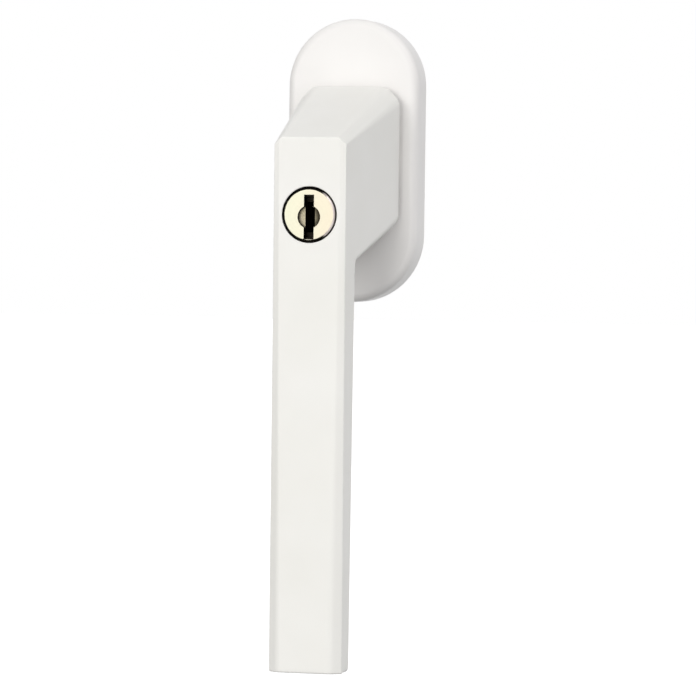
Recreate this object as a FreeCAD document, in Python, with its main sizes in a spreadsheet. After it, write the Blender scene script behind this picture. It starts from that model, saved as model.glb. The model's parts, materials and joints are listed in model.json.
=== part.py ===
import FreeCAD, Part
import math
import os
import re
import Sketcher

# Locking window handle: a straight grip on a faceted neck, with a key lock in the grip's front.
# Frame: +X to the right, +Y into the window, +Z up, millimetres.
# The origin is on the spindle axis, in the plane of the window frame that the rosette sits on.
# An "out" distance is measured from that plane towards the viewer, so y = -out.
# The model stands at rest: grip hanging down, lock open, key slot upright.

SIZES = {
    # Rosette cover
    "cover_width": 33.5,
    "cover_height": 70.6,
    "cover_depth": 9.0,
    "cover_wall": 1.5,
    "cover_edge_round": 2.0,
    "cover_hole_radius": 12.1,
    "cover_clearance": 0.3,
    # Base plate and the fixing screws, on the 43 mm spacing of European window handles
    "screw_spacing": 43.0,
    "screw_radius": 2.5,
    "screw_plain_radius": 2.2,
    "screw_thread_gap": 0.5,
    "screw_length": 45.0,
    "screw_head_radius": 4.6,
    "screw_clearance": 0.15,
    "screw_sink": 0.2,
    "screw_cross_span": 4.6,
    "screw_cross_width": 0.9,
    "screw_cross_depth": 1.5,
    "locating_cam_radius": 5.0,
    "locating_cam_length": 2.0,
    # Neck, which widens from the grip to the rosette
    "neck_gap": 2.6,
    "neck_width": 25.8,
    "neck_height": 36.7,
    "neck_chamfer": 3.5,
    "neck_rise": 4.67,
    "neck_drop": 28.63,
    # Grip
    "projection": 49.6,
    "grip_width": 17.8,
    "grip_reach": 124.43,
    "grip_chamfer": 1.75,
    "grip_thickness": 9.4,
    "grip_tip_thickness": 8.4,
    "grip_back_round": 2.5,
    "grip_tip_round": 1.2,
    "bevel_width": 1.2,
    "bevel_depth": 0.4,
    "bevel_tip_width": 2.2,
    "bevel_tip_depth": 0.8,
    "edge_round": 0.45,
    "neck_edge_round": 3.5,
    # Square spindle and the grub screw that holds it
    "spindle_side": 7.0,
    "spindle_reach": 37.0,
    "spindle_socket": 22.0,
    "spindle_corner": 0.5,
    "spindle_clearance": 0.05,
    "spindle_grub_radius": 2.5,
    "spindle_grub_setback": 11.0,
    "spindle_grub_socket": 1.25,
    "grub_sink": 0.5,
    "grub_clearance": 0.05,
    # Collar of the handle, which turns in the base plate
    "collar_radius": 6.5,
    "collar_end": 0.5,
    "bush_clearance": 0.05,
    "bush_wall": 0.85,
    "seat_clearance": 0.02,
    "turn_play": 0.2,
    "slide_ring_margin": 0.2,
    "recess_radius": 7.9,
    "recess_depth": 2.6,
    "washer_radius": 7.7,
    "washer_thickness": 0.5,
    "washer_play": 0.1,
    "circlip_radius": 7.4,
    "circlip_thickness": 0.8,
    "circlip_groove": 0.6,
    "circlip_opening": 5.0,
    # Ball detents that hold the handle at each quarter turn
    "ball_radius": 1.2,
    "ball_clearance": 0.05,
    "ball_travel": 0.5,
    "notch_clearance": 0.1,
    "detent_wire_radius": 0.14,
    "detent_spring_pitch": 0.45,
    "detent_plug_radius": 1.5,
    "detent_plug_length": 2.8,
    "detent_plug_sink": 0.15,
    "detent_plug_slot": 0.5,
    "detent_plug_slot_depth": 0.9,
    # Lock cylinder in the grip
    "lock_drop": 13.93,
    "lock_bore_radius": 6.8,
    "lock_bore_depth": 24.0,
    "lock_housing_clearance": 0.05,
    "lock_housing_setback": 2.4,
    "lock_housing_length": 13.6,
    "lock_face_radius": 6.2,
    "lock_face_proud": 0.3,
    "lock_face_thickness": 1.2,
    "lock_face_chamfer": 0.4,
    "spigot_inset": 0.12,
    "key_drop": 14.48,
    "key_hole_radius": 2.7,
    "key_slot_width": 2.4,
    "key_slot_half": 5.35,
    "key_slot_depth": 11.0,
    "core_radius": 4.9,
    "core_clearance": 0.05,
    "core_play": 0.15,
    "core_rear_wall": 2.0,
    "journal_radius": 2.5,
    "journal_square": 3.2,
    "journal_square_clearance": 0.05,
    # Wafers that lock the core to its housing
    "wafer_count": 4.0,
    "wafer_first_setback": 1.6,
    "wafer_pitch": 1.8,
    "wafer_thickness": 0.8,
    "wafer_width": 6.4,
    "wafer_tongue_width": 3.0,
    "wafer_window_width": 2.8,
    "wafer_window_half": 3.7,
    "wafer_inset": 0.05,
    "wafer_shoulder": 0.6,
    "wafer_clearance": 0.05,
    "wafer_groove_clearance": 0.1,
    "wafer_travel": 0.45,
    # Face cam and the locking bolt that it pushes into the base plate
    "cam_radius": 5.4,
    "cam_inner_radius": 2.7,
    "cam_disc": 1.2,
    "cam_gap": 0.1,
    "cam_dwell_angle": 25.0,
    "cam_screw_radius": 1.0,
    "cam_screw_length": 4.0,
    "cam_screw_head_radius": 2.3,
    "cam_screw_head": 1.0,
    "cam_screw_slot": 0.45,
    "bolt_offset": 9.8,
    "bolt_radius": 1.75,
    "bolt_clearance": 0.1,
    "bolt_hole_clearance": 0.25,
    "bolt_hole_floor": 0.6,
    "bolt_travel": 4.5,
    "bolt_setback": 0.4,
    "bolt_nose_radius": 1.1,
    "bolt_nose_gap": 0.35,
    "bolt_flange_radius": 3.2,
    "bolt_flange": 0.8,
    "bolt_guide_length": 4.0,
    "chamber_clearance": 0.2,
    "bolt_spring_radius": 2.5,
    "bolt_wire_radius": 0.28,
    "bolt_spring_turns": 7.0,
    "spring_end_gap": 0.05,
    # Grub screw that holds the lock housing, from under the neck
    "lock_grub_radius": 1.5,
    "lock_grub_setback": 13.0,
    "lock_grub_socket": 0.75,
    "lock_grub_sink": 0.3,
}

# Places that follow from the sizes
PLACES = {
    "cover_straight": "(cover_height - cover_width) / 2",
    "cover_radius": "cover_width / 2",
    "base_radius": "cover_radius - cover_wall - cover_clearance",
    "base_depth": "cover_depth - cover_wall - cover_clearance",
    "screw_half": "screw_spacing / 2",
    "neck_rear": "cover_depth + neck_gap",
    "neck_length": "projection - neck_rear",
    "grip_half": "grip_width / 2",
    "neck_half": "neck_width / 2",
    "side_flare": "(neck_half - grip_half) / neck_length",
    "neck_low": "neck_height / 2",
    "collar_inner": "collar_radius + bush_clearance",
    "bush_radius": "collar_inner + bush_wall",
    "slide_ring_rear": "base_depth + turn_play",
    "slide_ring_radius": "cover_hole_radius - slide_ring_margin",
    "washer_front": "recess_depth - washer_play",
    "washer_rear": "washer_front - washer_thickness",
    "circlip_rear": "washer_rear - circlip_thickness",
    "groove_radius": "collar_radius - circlip_groove",
    "detent_out": "(recess_depth + base_depth) / 2",
    "ball_place": "collar_radius + ball_radius + ball_clearance",
    "detent_bore": "ball_radius + ball_clearance",
    "notch_radius": "ball_radius + notch_clearance",
    "notch_place": "collar_radius - ball_travel - notch_clearance + notch_radius",
    "detent_plug_end": "base_radius - detent_plug_sink",
    "detent_plug_start": "detent_plug_end - detent_plug_length",
    "detent_spring_start": "ball_place + ball_radius + spring_end_gap",
    "detent_spring_length": "detent_plug_start - spring_end_gap - detent_spring_start",
    "spindle_front": "neck_rear + spindle_socket",
    "spindle_hole": "spindle_side + 2 * spindle_clearance",
    "spindle_grub_out": "neck_rear + spindle_grub_setback",
    "lock_bore_rear": "projection - lock_bore_depth",
    "housing_radius": "lock_bore_radius - lock_housing_clearance",
    "face_front": "projection + lock_face_proud",
    "face_rear": "face_front - lock_face_thickness",
    "housing_front": "projection - lock_housing_setback",
    "housing_rear": "housing_front - lock_housing_length",
    "core_bore": "core_radius + core_clearance",
    "core_front": "face_rear - core_play",
    "core_seat": "housing_rear + core_rear_wall",
    "core_rear": "core_seat + cam_gap",
    "journal_rear": "housing_rear - cam_gap",
    "cam_front": "journal_rear",
    "cam_level": "cam_front - cam_disc",
    "cam_top": "cam_level - bolt_travel",
    "bolt_nose_front": "cam_level - bolt_nose_gap",
    "bolt_flange_front": "lock_bore_rear",
    "bolt_flange_rear": "bolt_flange_front - bolt_flange",
    "bolt_tip": "slide_ring_rear + bolt_setback",
    "chamber_rear": "neck_rear + bolt_guide_length",
    "chamber_radius": "bolt_flange_radius + chamber_clearance",
    "guide_radius": "bolt_radius + bolt_clearance",
    "bolt_spring_length": "bolt_flange_rear - chamber_rear - 2 * spring_end_gap",
    "wafer_reach": "core_radius - wafer_inset",
    "lock_grub_out": "projection - lock_grub_setback",
    # A cutting shape reaches this far past the material, so it leaves no skin
    "past": "1",
}

# Coordinates closer than this, in millimetres, count as the same
NEAR = 1e-4
# A coil's path is one curve for each half turn
TURNS_IN_A_CURVE = 0.5

document = FreeCAD.newDocument("window_handle")
sheet = document.addObject("Spreadsheet::Sheet", "sizes")
nodes = []


def fill_sheet():
    """Each driving size has a cell of its own, with its name beside it."""
    for row, (name, value) in enumerate(SIZES.items(), start=1):
        sheet.set(f"A{row}", name)
        sheet.set(f"B{row}", str(value))
        sheet.setAlias(f"B{row}", name)
    document.recompute()


def formula(text):
    """Writes the names in a formula as cells of the sheet, and places as their own formulas."""
    def written(match):
        word = match.group(0)
        if word in PLACES:
            return f"({formula(PLACES[word])})"
        if word in SIZES:
            return f"sizes.{word}"
        return word
    return re.sub(r"[a-z][a-z_]*[a-z]", written, str(text))


def bind(item, **sizes):
    """Ties properties of an object to formulas."""
    for name, text in sizes.items():
        item.setExpression(name, formula(text))
    return item


def place(item, x="0", out="0", z="0", rotation=None):
    """Puts an object at x, out, z, with the turn that its own axes need."""
    turn = rotation or FreeCAD.Rotation()
    item.Placement = FreeCAD.Placement(FreeCAD.Vector(), turn)
    item.setExpression("Placement.Base.x", formula(x))
    item.setExpression("Placement.Base.y", formula(f"-({out})"))
    item.setExpression("Placement.Base.z", formula(z))
    return item


X_AXIS = FreeCAD.Vector(1, 0, 0)
Y_AXIS = FreeCAD.Vector(0, 1, 0)
Z_AXIS = FreeCAD.Vector(0, 0, 1)
INWARD = FreeCAD.Rotation(X_AXIS, -90)
RIGHTWARD = FreeCAD.Rotation(Y_AXIS, 90)
LEFTWARD = FreeCAD.Rotation(Y_AXIS, -90)


def rod(name, radius, rear, front, x="0", z="0"):
    """A cylinder along Y between two out distances."""
    item = document.addObject("Part::Cylinder", name)
    bind(item, Radius=radius, Height=f"({front}) - ({rear})")
    return place(item, x, front, z, INWARD)


def cross_rod(name, radius, start, end, out, z="0", side=1):
    """A cylinder along X, from start to end on the side given by the sign."""
    item = document.addObject("Part::Cylinder", name)
    bind(item, Radius=radius, Height=f"({end}) - ({start})")
    return place(item, f"{side} * ({start})", out, z, RIGHTWARD if side > 0 else LEFTWARD)


def upright_rod(name, radius, low, high, out, x="0"):
    """A cylinder along Z between two heights."""
    item = document.addObject("Part::Cylinder", name)
    bind(item, Radius=radius, Height=f"({high}) - ({low})")
    return place(item, x, out, low)


def cone(name, rear_radius, front_radius, rear, front, x="0", z="0"):
    """A cone along Y between two out distances."""
    item = document.addObject("Part::Cone", name)
    bind(item, Radius1=front_radius, Radius2=rear_radius, Height=f"({front}) - ({rear})")
    return place(item, x, front, z, INWARD)


def block(name, width, height, rear, front, x="0", z="0"):
    """A box centred on x and z, between two out distances."""
    item = document.addObject("Part::Box", name)
    bind(item, Length=width, Width=f"({front}) - ({rear})", Height=height)
    return place(item, f"({x}) - ({width}) / 2", front, f"({z}) - ({height}) / 2")


def ball(name, radius, x, out, z="0"):
    """A sphere."""
    item = document.addObject("Part::Sphere", name)
    bind(item, Radius=radius)
    return place(item, x, out, z)


def fuse(name, *items):
    """One solid made of several."""
    whole = document.addObject("Part::MultiFuse", name)
    whole.Shapes = list(items)
    whole.Refine = True
    return whole


def cut(name, base, *tools):
    """The base without the tools."""
    rest = document.addObject("Part::Cut", name)
    rest.Base = base
    rest.Tool = tools[0] if len(tools) == 1 else fuse(f"{name}_cuts", *tools)
    rest.Refine = True
    return rest


def common(name, first, second):
    """What two solids share."""
    shared = document.addObject("Part::Common", name)
    shared.Base = first
    shared.Tool = second
    return shared


def stadium(name, radius, straight, rear, front):
    """An upright plate with half-round ends."""
    middle = block(f"{name}_middle", f"2 * ({radius})", f"2 * ({straight})", rear, front)
    upper = rod(f"{name}_upper", radius, rear, front, z=straight)
    lower = rod(f"{name}_lower", radius, rear, front, z=f"-({straight})")
    return fuse(name, middle, upper, lower)


def polygon(sketch, points):
    """Draws a closed outline whose corners are tied to formulas."""
    count = len(points)
    turn = 2 * math.pi / count
    ring = [FreeCAD.Vector(math.cos(turn * i), math.sin(turn * i), 0) for i in range(count)]
    for i in range(count):
        sketch.addGeometry(Part.LineSegment(ring[i], ring[(i + 1) % count]))
    for i in range(count):
        sketch.addConstraint(Sketcher.Constraint("Coincident", i, 2, (i + 1) % count, 1))
    for i, corner in enumerate(points):
        for kind, start, text in zip(("DistanceX", "DistanceY"), ring[i], corner):
            number = sketch.addConstraint(Sketcher.Constraint(kind, -1, 1, i, 1, start))
            sketch.setExpression(f"Constraints[{number}]", formula(text))
    return sketch


def body_sketch(body, name, role, offset, points):
    """A sketch on one of the body's own origin planes."""
    sketch = body.newObject("Sketcher::SketchObject", name)
    planes = [item for item in body.Origin.OriginFeatures if item.Role == role]
    sketch.AttachmentSupport = [(planes[0], "")]
    sketch.MapMode = "FlatFace"
    sketch.setExpression("AttachmentOffset.Base.z", formula(offset))
    return polygon(sketch, points)


def free_sketch(name, points, rotation, x="0", out="0", z="0"):
    """A sketch that stands by itself, for a loft or a sweep."""
    sketch = document.addObject("Sketcher::SketchObject", name)
    place(sketch, x, out, z, rotation)
    return polygon(sketch, points)


def coil(name, mean_radius, wire_radius, rise, pitch):
    """A wound spring along its own Z axis, with the wire's ends left plain."""
    path = document.addObject("Part::Helix", f"{name}_path")
    bind(path, Radius=mean_radius, Height=rise, Pitch=pitch)
    path.SegmentLength = TURNS_IN_A_CURVE
    section = document.addObject("Part::Circle", f"{name}_section")
    bind(section, Radius=wire_radius)
    section.Placement = FreeCAD.Placement(FreeCAD.Vector(), FreeCAD.Rotation(X_AXIS, 90))
    section.setExpression("Placement.Base.x", formula(mean_radius))
    wire = document.addObject("Part::Sweep", name)
    wire.Sections = [section]
    wire.Spine = (path, [])
    wire.Solid = True
    wire.Frenet = True
    return wire


def long_edges(shape, wanted):
    """Numbers of the edges that a test picks, as a fillet asks for them."""
    return [i for i, edge in enumerate(shape.Edges, start=1) if wanted(edge)]


def keep(item):
    """Marks an object as a finished sub-part under its own label."""
    item.Label = item.Name
    nodes.append(item)
    return item


# The two parts of the rosette

def build_base_plate():
    """Plate with bearing bore, rear recess, screw holes, bolt holes, detent bores and two cams."""
    plate = stadium("base_blank", "base_radius", "cover_straight", "0", "base_depth")
    solids = [plate]
    tools = [rod("base_bearing", "bush_radius + seat_clearance", "-past", "base_depth + past"),
             rod("base_recess", "recess_radius", "-past", "recess_depth")]
    for name, sign in (("upper", 1), ("lower", -1)):
        height = f"{sign} * screw_half"
        head = "screw_head_radius + screw_clearance"
        hole = "screw_radius + screw_clearance"
        seat = "base_depth - screw_sink"
        sink = f"{seat} - ({head} - {hole})"
        solids.append(rod(f"cam_{name}", "locating_cam_radius", "-locating_cam_length", "past", z=height))
        tools.append(rod(f"screw_hole_{name}", hole, "-locating_cam_length - past", "base_depth", z=height))
        tools.append(cone(f"countersink_{name}", hole, head, sink, seat, z=height))
        tools.append(rod(f"head_well_{name}", head, seat, "base_depth + past", z=height))
        bolt_hole = "bolt_radius + bolt_hole_clearance"
        floor = "bolt_tip - bolt_travel - bolt_hole_floor"
        tools.append(rod(f"bolt_hole_{name}", bolt_hole, floor, "base_depth + past",
                         z=f"{sign} * bolt_offset"))
    for name, side in (("right", 1), ("left", -1)):
        tools.append(cross_rod(f"detent_bore_{name}", "detent_bore", "collar_radius",
                               "detent_plug_start + past", "detent_out", side=side))
        tools.append(cross_rod(f"plug_bore_{name}", "detent_plug_radius", "detent_plug_start",
                               "base_radius + past", "detent_out", side=side))
    keep(cut("base_plate", fuse("base_solids", *solids), *tools))


def build_cover():
    """Thin shell over the base plate, with a rounded front edge and a round hole for the neck."""
    outer = stadium("cover_outer", "cover_radius", "cover_straight", "0", "cover_depth")
    document.recompute()
    front = -sheet.get("cover_depth")
    edges = long_edges(outer.Shape, lambda edge: abs(edge.BoundBox.YMax - front) < NEAR)
    rounded = document.addObject("Part::Fillet", "cover_rounded")
    rounded.Base = outer
    radius = sheet.get("cover_edge_round")
    rounded.Edges = [(number, radius, radius) for number in edges]
    inner = stadium("cover_inner", "cover_radius - cover_wall", "cover_straight", "-past",
                    "cover_depth - cover_wall")
    hole = rod("cover_hole", "cover_hole_radius", "0", "cover_depth + past")
    keep(cut("rosette_cover", rounded, inner, hole))


def build_bearing_bush():
    """Nylon sleeve between the collar and the base plate, with a window for each detent ball."""
    outer = rod("bush_outer", "bush_radius", "recess_depth", "base_depth")
    tools = [rod("bush_inner", "collar_inner", "recess_depth - past", "base_depth + past")]
    for name, side in (("right", 1), ("left", -1)):
        tools.append(cross_rod(f"bush_window_{name}", "detent_bore", "collar_inner - past",
                               "bush_radius + past", "detent_out", side=side))
    keep(cut("bearing_bush", outer, *tools))


def build_fixing_screw(name, sign):
    """Countersunk screw with a cross recess, and a plain shank where it passes the base plate."""
    height = f"{sign} * screw_half"
    seat = "base_depth - screw_sink"
    thread_start = "-locating_cam_length - screw_thread_gap"
    thread = rod(f"{name}_thread", "screw_radius", f"{seat} - screw_length", thread_start, z=height)
    shank = rod(f"{name}_shank", "screw_plain_radius", thread_start, seat, z=height)
    head = cone(f"{name}_head", "screw_plain_radius", "screw_head_radius",
                f"{seat} - (screw_head_radius - screw_plain_radius)", seat, z=height)
    flat = block(f"{name}_flat", "screw_cross_span", "screw_cross_width", f"{seat} - screw_cross_depth",
                 f"{seat} + past", z=height)
    tall = block(f"{name}_tall", "screw_cross_width", "screw_cross_span", f"{seat} - screw_cross_depth",
                 f"{seat} + past", z=height)
    keep(cut(name, fuse(f"{name}_solid", thread, shank, head), flat, tall))


def build_detent(side_name, side):
    """Ball, spring and slotted plug in one side of the base plate."""
    keep(ball(f"detent_ball_{side_name}", "ball_radius", f"{side} * ball_place", "detent_out"))
    mean_radius = "(ball_radius - 2 * detent_wire_radius)"
    spring = coil(f"detent_spring_{side_name}", mean_radius, "detent_wire_radius",
                  "detent_spring_length - 2 * detent_wire_radius", "detent_spring_pitch")
    place(spring, f"{side} * (detent_spring_start + detent_wire_radius)", "detent_out", "0",
          RIGHTWARD if side > 0 else LEFTWARD)
    keep(spring)
    plug = cross_rod(f"plug_{side_name}", "detent_plug_radius - seat_clearance", "detent_plug_start",
                     "detent_plug_end", "detent_out", side=side)
    slot = block(f"plug_slot_{side_name}", "2 * detent_plug_slot_depth", "detent_plug_slot",
                 "detent_out - detent_plug_radius", "detent_out + detent_plug_radius",
                 x=f"{side} * detent_plug_end")
    keep(cut(f"detent_plug_{side_name}", plug, slot))


# The handle casting

def build_neck():
    """Octagonal taper: two four-sided tapers, one of them turned by 45 degrees, cut each other."""
    upright = document.addObject("Part::Wedge", "neck_upright")
    bind(upright, Xmin="-grip_half", Xmax="grip_half", Zmin="-neck_drop", Zmax="neck_rise",
         X2min="-neck_half", X2max="neck_half", Z2min="-neck_low", Z2max="neck_low",
         Ymin="-projection", Ymax="-neck_rear")
    turned = document.addObject("Part::Wedge", "neck_turned")
    root_two = "sqrt(2)"
    front_near = f"(grip_half + neck_rise - grip_chamfer) / {root_two}"
    front_far = f"(grip_half + neck_drop - grip_chamfer) / {root_two}"
    rear_half = f"(neck_half + neck_low - neck_chamfer) / {root_two}"
    bind(turned, Xmin=f"-({front_far})", Xmax=front_near, Zmin=f"-({front_far})", Zmax=front_near,
         X2min=f"-({rear_half})", X2max=rear_half, Z2min=f"-({rear_half})", Z2max=rear_half,
         Ymin="-projection", Ymax="-neck_rear")
    turned.Placement = FreeCAD.Placement(FreeCAD.Vector(), FreeCAD.Rotation(Y_AXIS, -45))
    return common("neck", upright, turned)


def build_grip():
    """Bar with flaring sides, a back that tapers towards the tip, and rounded back and tip edges."""
    body = document.addObject("PartDesign::Body", "grip")
    back = "-projection + grip_thickness"
    half_back = "grip_half + side_flare * grip_thickness"
    section = body_sketch(body, "grip_section", "XY_Plane", "-grip_reach",
                          [("-grip_half", "-projection"), ("grip_half", "-projection"),
                           (half_back, back), (f"-({half_back})", back)])
    bar = body.newObject("PartDesign::Pad", "grip_bar")
    bar.Profile = section
    bind(bar, Length="grip_reach")
    document.recompute()
    full_volume = body.Shape.Volume
    beyond = "-projection + 2 * grip_thickness"
    wedge = body_sketch(body, "grip_back_wedge", "YZ_Plane", "0",
                        [(back, "0"), (beyond, "0"), (beyond, "-grip_reach - past"),
                         ("-projection + grip_tip_thickness", "-grip_reach - past"),
                         ("-projection + grip_tip_thickness", "-grip_reach")])
    taper = body.newObject("PartDesign::Pocket", "grip_back_taper")
    taper.Profile = wedge
    taper.Type = "ThroughAll"
    taper.Midplane = True
    document.recompute()
    if not body.Shape.Volume < full_volume:
        raise ValueError("the back taper cuts nothing from the grip")
    front = -sheet.get("projection")
    tip = -sheet.get("grip_reach")

    def runs_down_the_back(edge):
        box = edge.BoundBox
        return box.ZLength > -tip / 2 and box.YMax > front + NEAR

    def stands_at_the_tip(edge):
        box = edge.BoundBox
        return box.ZMax < tip + NEAR and box.YLength > NEAR

    for name, radius, wanted in (("grip_back_rounding", "grip_back_round", runs_down_the_back),
                                 ("grip_tip_rounding", "grip_tip_round", stands_at_the_tip)):
        base = body.Tip
        rounding = body.newObject("PartDesign::Fillet", name)
        rounding.Base = (base, [f"Edge{number}" for number in long_edges(base.Shape, wanted)])
        bind(rounding, Radius=radius)
        document.recompute()
    return body


def build_bevel(name, side):
    """Long wedge that cuts the bevel along one front edge, wider towards the tip."""
    profiles = []
    for end, width, depth, height in (("top", "bevel_width", "bevel_depth", "neck_rise + past"),
                                      ("tip", "bevel_tip_width", "bevel_tip_depth", "-grip_reach - past")):
        corners = [(f"{side} * (grip_half - {width})", "-projection"),
                   (f"{side} * (grip_half + side_flare * {depth})", f"-projection + {depth}"),
                   (f"{side} * (grip_half + {width})", f"-projection - {depth}")]
        profiles.append(free_sketch(f"{name}_{end}", corners, FreeCAD.Rotation(), z=height))
    wedge = document.addObject("Part::Loft", name)
    wedge.Sections = profiles
    wedge.Solid = True
    wedge.Ruled = True
    return wedge


def fillet(name, base, picked):
    """Rounds edges of a solid, each given as its number and a radius at either end."""
    rounded = document.addObject("Part::Fillet", name)
    rounded.Base = base
    rounded.Edges = picked
    document.recompute()
    return rounded


def soften_neck(neck):
    """Rounds the neck's long edges more and more towards the rear, and then its rear rim."""
    document.recompute()
    fine = sheet.get("edge_round")
    full = sheet.get("neck_edge_round")
    rear = -sheet.get("cover_depth") - sheet.get("neck_gap")
    depth = sheet.get("projection") + rear
    front = -sheet.get("projection")
    picked = []
    for number, edge in enumerate(neck.Shape.Edges, start=1):
        ends = [edge.firstVertex().Point.y, edge.lastVertex().Point.y]
        if abs(ends[1] - ends[0]) > depth / 2:
            radii = [fine + (full - fine) * (y - front) / depth for y in ends]
            picked.append((number, radii[0], radii[1]))
    tapered = fillet("neck_tapered_rounding", neck, picked)
    rim = long_edges(tapered.Shape, lambda edge: edge.BoundBox.YMin > rear - NEAR)
    return fillet("neck_rim_rounding", tapered, [(number, fine, fine) for number in rim])


def build_handle_casting():
    """Neck, grip and collar in one casting, with the bores for spindle, lock, bolt and screws."""
    blank = fuse("casting_blank", soften_neck(build_neck()), build_grip())
    softened = cut("casting_beveled", blank, build_bevel("bevel_right", 1), build_bevel("bevel_left", -1))
    collar = rod("collar", "collar_radius", "collar_end", "neck_rear + past")
    core_line = "-lock_drop"
    bolt_line = "-bolt_offset"
    grub_floor = "neck_half"
    tools = [
        block("spindle_hole", "spindle_hole", "spindle_hole", "-past", "spindle_front + turn_play"),
        rod("lock_bore", "lock_bore_radius", "lock_bore_rear", "projection + past", z=core_line),
        rod("bolt_chamber", "chamber_radius", "chamber_rear", "lock_bore_rear + past", z=bolt_line),
        rod("bolt_guide", "guide_radius", "neck_rear - past", "chamber_rear + past", z=bolt_line),
        cut("circlip_groove", rod("groove_outer", "collar_radius + past", "circlip_rear", "washer_rear"),
            rod("groove_floor", "groove_radius", "circlip_rear - past", "washer_rear + past")),
        cross_rod("spindle_grub_hole", "spindle_grub_radius + grub_clearance", "0", grub_floor,
                  "spindle_grub_out", side=-1),
        upright_rod("lock_grub_hole", "lock_grub_radius + grub_clearance", "-neck_drop", "-lock_drop",
                    "lock_grub_out"),
    ]
    for quarter in range(4):
        angle = f"{quarter * 90} * 1 deg"
        tools.append(rod(f"notch_{quarter}", "notch_radius", "detent_out - detent_bore",
                         "detent_out + detent_bore", x=f"notch_place * cos({angle})",
                         z=f"notch_place * sin({angle})"))
    keep(cut("handle_casting", fuse("casting_solids", softened, collar), *tools))


# What turns with the casting

def build_slide_ring():
    """Nylon ring between the neck and the base plate, pierced for the locking bolt."""
    outer = rod("slide_ring_outer", "slide_ring_radius", "slide_ring_rear", "neck_rear")
    inner = rod("slide_ring_inner", "collar_inner", "slide_ring_rear - past", "neck_rear + past")
    hole = rod("slide_ring_hole", "guide_radius", "slide_ring_rear - past", "neck_rear + past",
               z="-bolt_offset")
    keep(cut("slide_ring", outer, inner, hole))


def build_spindle():
    """Square steel bar with broken corners."""
    side = "spindle_side"
    bar = block("spindle_bar", side, side, "-spindle_reach", "spindle_front")
    diagonal = "spindle_side * sqrt(2) - spindle_corner * sqrt(2)"
    turned = document.addObject("Part::Box", "spindle_turned")
    bind(turned, Length=diagonal, Width="spindle_reach + spindle_front", Height=diagonal)
    turned.Placement = FreeCAD.Placement(FreeCAD.Vector(), FreeCAD.Rotation(Y_AXIS, 45))
    turned.setExpression("Placement.Base.x", formula(f"-({diagonal}) / sqrt(2)"))
    turned.setExpression("Placement.Base.y", formula("-(spindle_front)"))
    keep(common("spindle", bar, turned))


def build_washer_and_circlip():
    """The pair that keeps the collar in the base plate."""
    washer = rod("washer_outer", "washer_radius", "washer_rear", "washer_front")
    washer_hole = rod("washer_hole", "collar_inner", "washer_rear - past", "washer_front + past")
    keep(cut("thrust_washer", washer, washer_hole))
    ring = rod("circlip_outer", "circlip_radius", "circlip_rear + seat_clearance", "washer_rear")
    ring_hole = rod("circlip_hole", "groove_radius + seat_clearance", "circlip_rear - past",
                    "washer_rear + past")
    opening = block("circlip_gap", "circlip_opening", "circlip_radius", "circlip_rear - past",
                    "washer_rear + past", z="-circlip_radius")
    keep(cut("circlip", ring, ring_hole, opening))


def build_spindle_grub_screw():
    """Socket screw from the neck's left side onto the spindle."""
    side_face = "grip_half + side_flare * (projection - spindle_grub_out)"
    head = f"{side_face} - grub_sink"
    screw = cross_rod("spindle_grub", "spindle_grub_radius", "spindle_side / 2", head, "spindle_grub_out",
                      side=-1)
    floor = f"{head} - spindle_grub_radius"
    socket = cross_rod("spindle_grub_socket_hole", "spindle_grub_socket", floor, f"{head} + past",
                       "spindle_grub_out", side=-1)
    keep(cut("spindle_grub_screw", screw, socket))


def build_lock_grub_screw():
    """Socket screw from under the neck onto the lock housing."""
    below = "(lock_drop + housing_radius)"
    slope = "(neck_drop - neck_low) / neck_length"
    under = f"neck_low + {slope} * (lock_grub_out - neck_rear) - lock_grub_sink"
    screw = upright_rod("lock_grub", "lock_grub_radius", f"-({under})", f"-{below}", "lock_grub_out")
    socket = upright_rod("lock_grub_socket_hole", "lock_grub_socket", f"-({under}) - past",
                         f"-({under}) + lock_grub_radius", "lock_grub_out")
    keep(cut("lock_grub_screw", screw, socket))


def build_lock_face():
    """Round plate in front of the lock, with a chamfered rim and the keyhole."""
    shoulder = "face_front - lock_face_chamfer"
    disc = rod("face_disc", "lock_face_radius", "face_rear", shoulder, z="-lock_drop")
    rim = cone("face_rim", "lock_face_radius", "lock_face_radius - lock_face_chamfer", shoulder,
               "face_front", z="-lock_drop")
    hole = rod("face_key_hole", "key_hole_radius", "face_rear - past", "face_front + past", z="-key_drop")
    slot = block("face_key_slot", "key_slot_width", "2 * key_slot_half", "face_rear - past",
                 "face_front + past", z="-key_drop")
    keep(cut("lock_face", fuse("face_solid", disc, rim), hole, slot))


def build_lock_housing():
    """Sleeve round the core, set in the lock bore, with grooves for the wafers above and below."""
    sleeve = rod("housing_sleeve", "housing_radius", "housing_rear", "housing_front", z="-lock_drop")
    spigot = rod("housing_spigot", "lock_face_radius - spigot_inset", "housing_front - past", "face_rear",
                 z="-lock_drop")
    bore = rod("housing_bore", "core_bore", "core_seat", "face_rear + past", z="-key_drop")
    journal = rod("housing_journal", "journal_radius + core_clearance", "housing_rear - past",
                  "core_seat + past", z="-key_drop")
    first = "core_front - wafer_first_setback + wafer_pitch / 2"
    last = "core_front - wafer_first_setback - (wafer_count - 1) * wafer_pitch - wafer_pitch / 2"
    depth = "wafer_reach + wafer_travel + wafer_clearance"
    width = "wafer_tongue_width + 2 * wafer_groove_clearance"
    grooves = block("housing_grooves", width, f"2 * ({depth})", last, first, z="-key_drop")
    keep(cut("lock_housing", fuse("housing_solid", sleeve, spigot), bore, journal, grooves))


def wafer_out(number):
    """Out distance of the middle of a wafer, counted from the front."""
    return f"core_front - wafer_first_setback - {number} * wafer_pitch"


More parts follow.
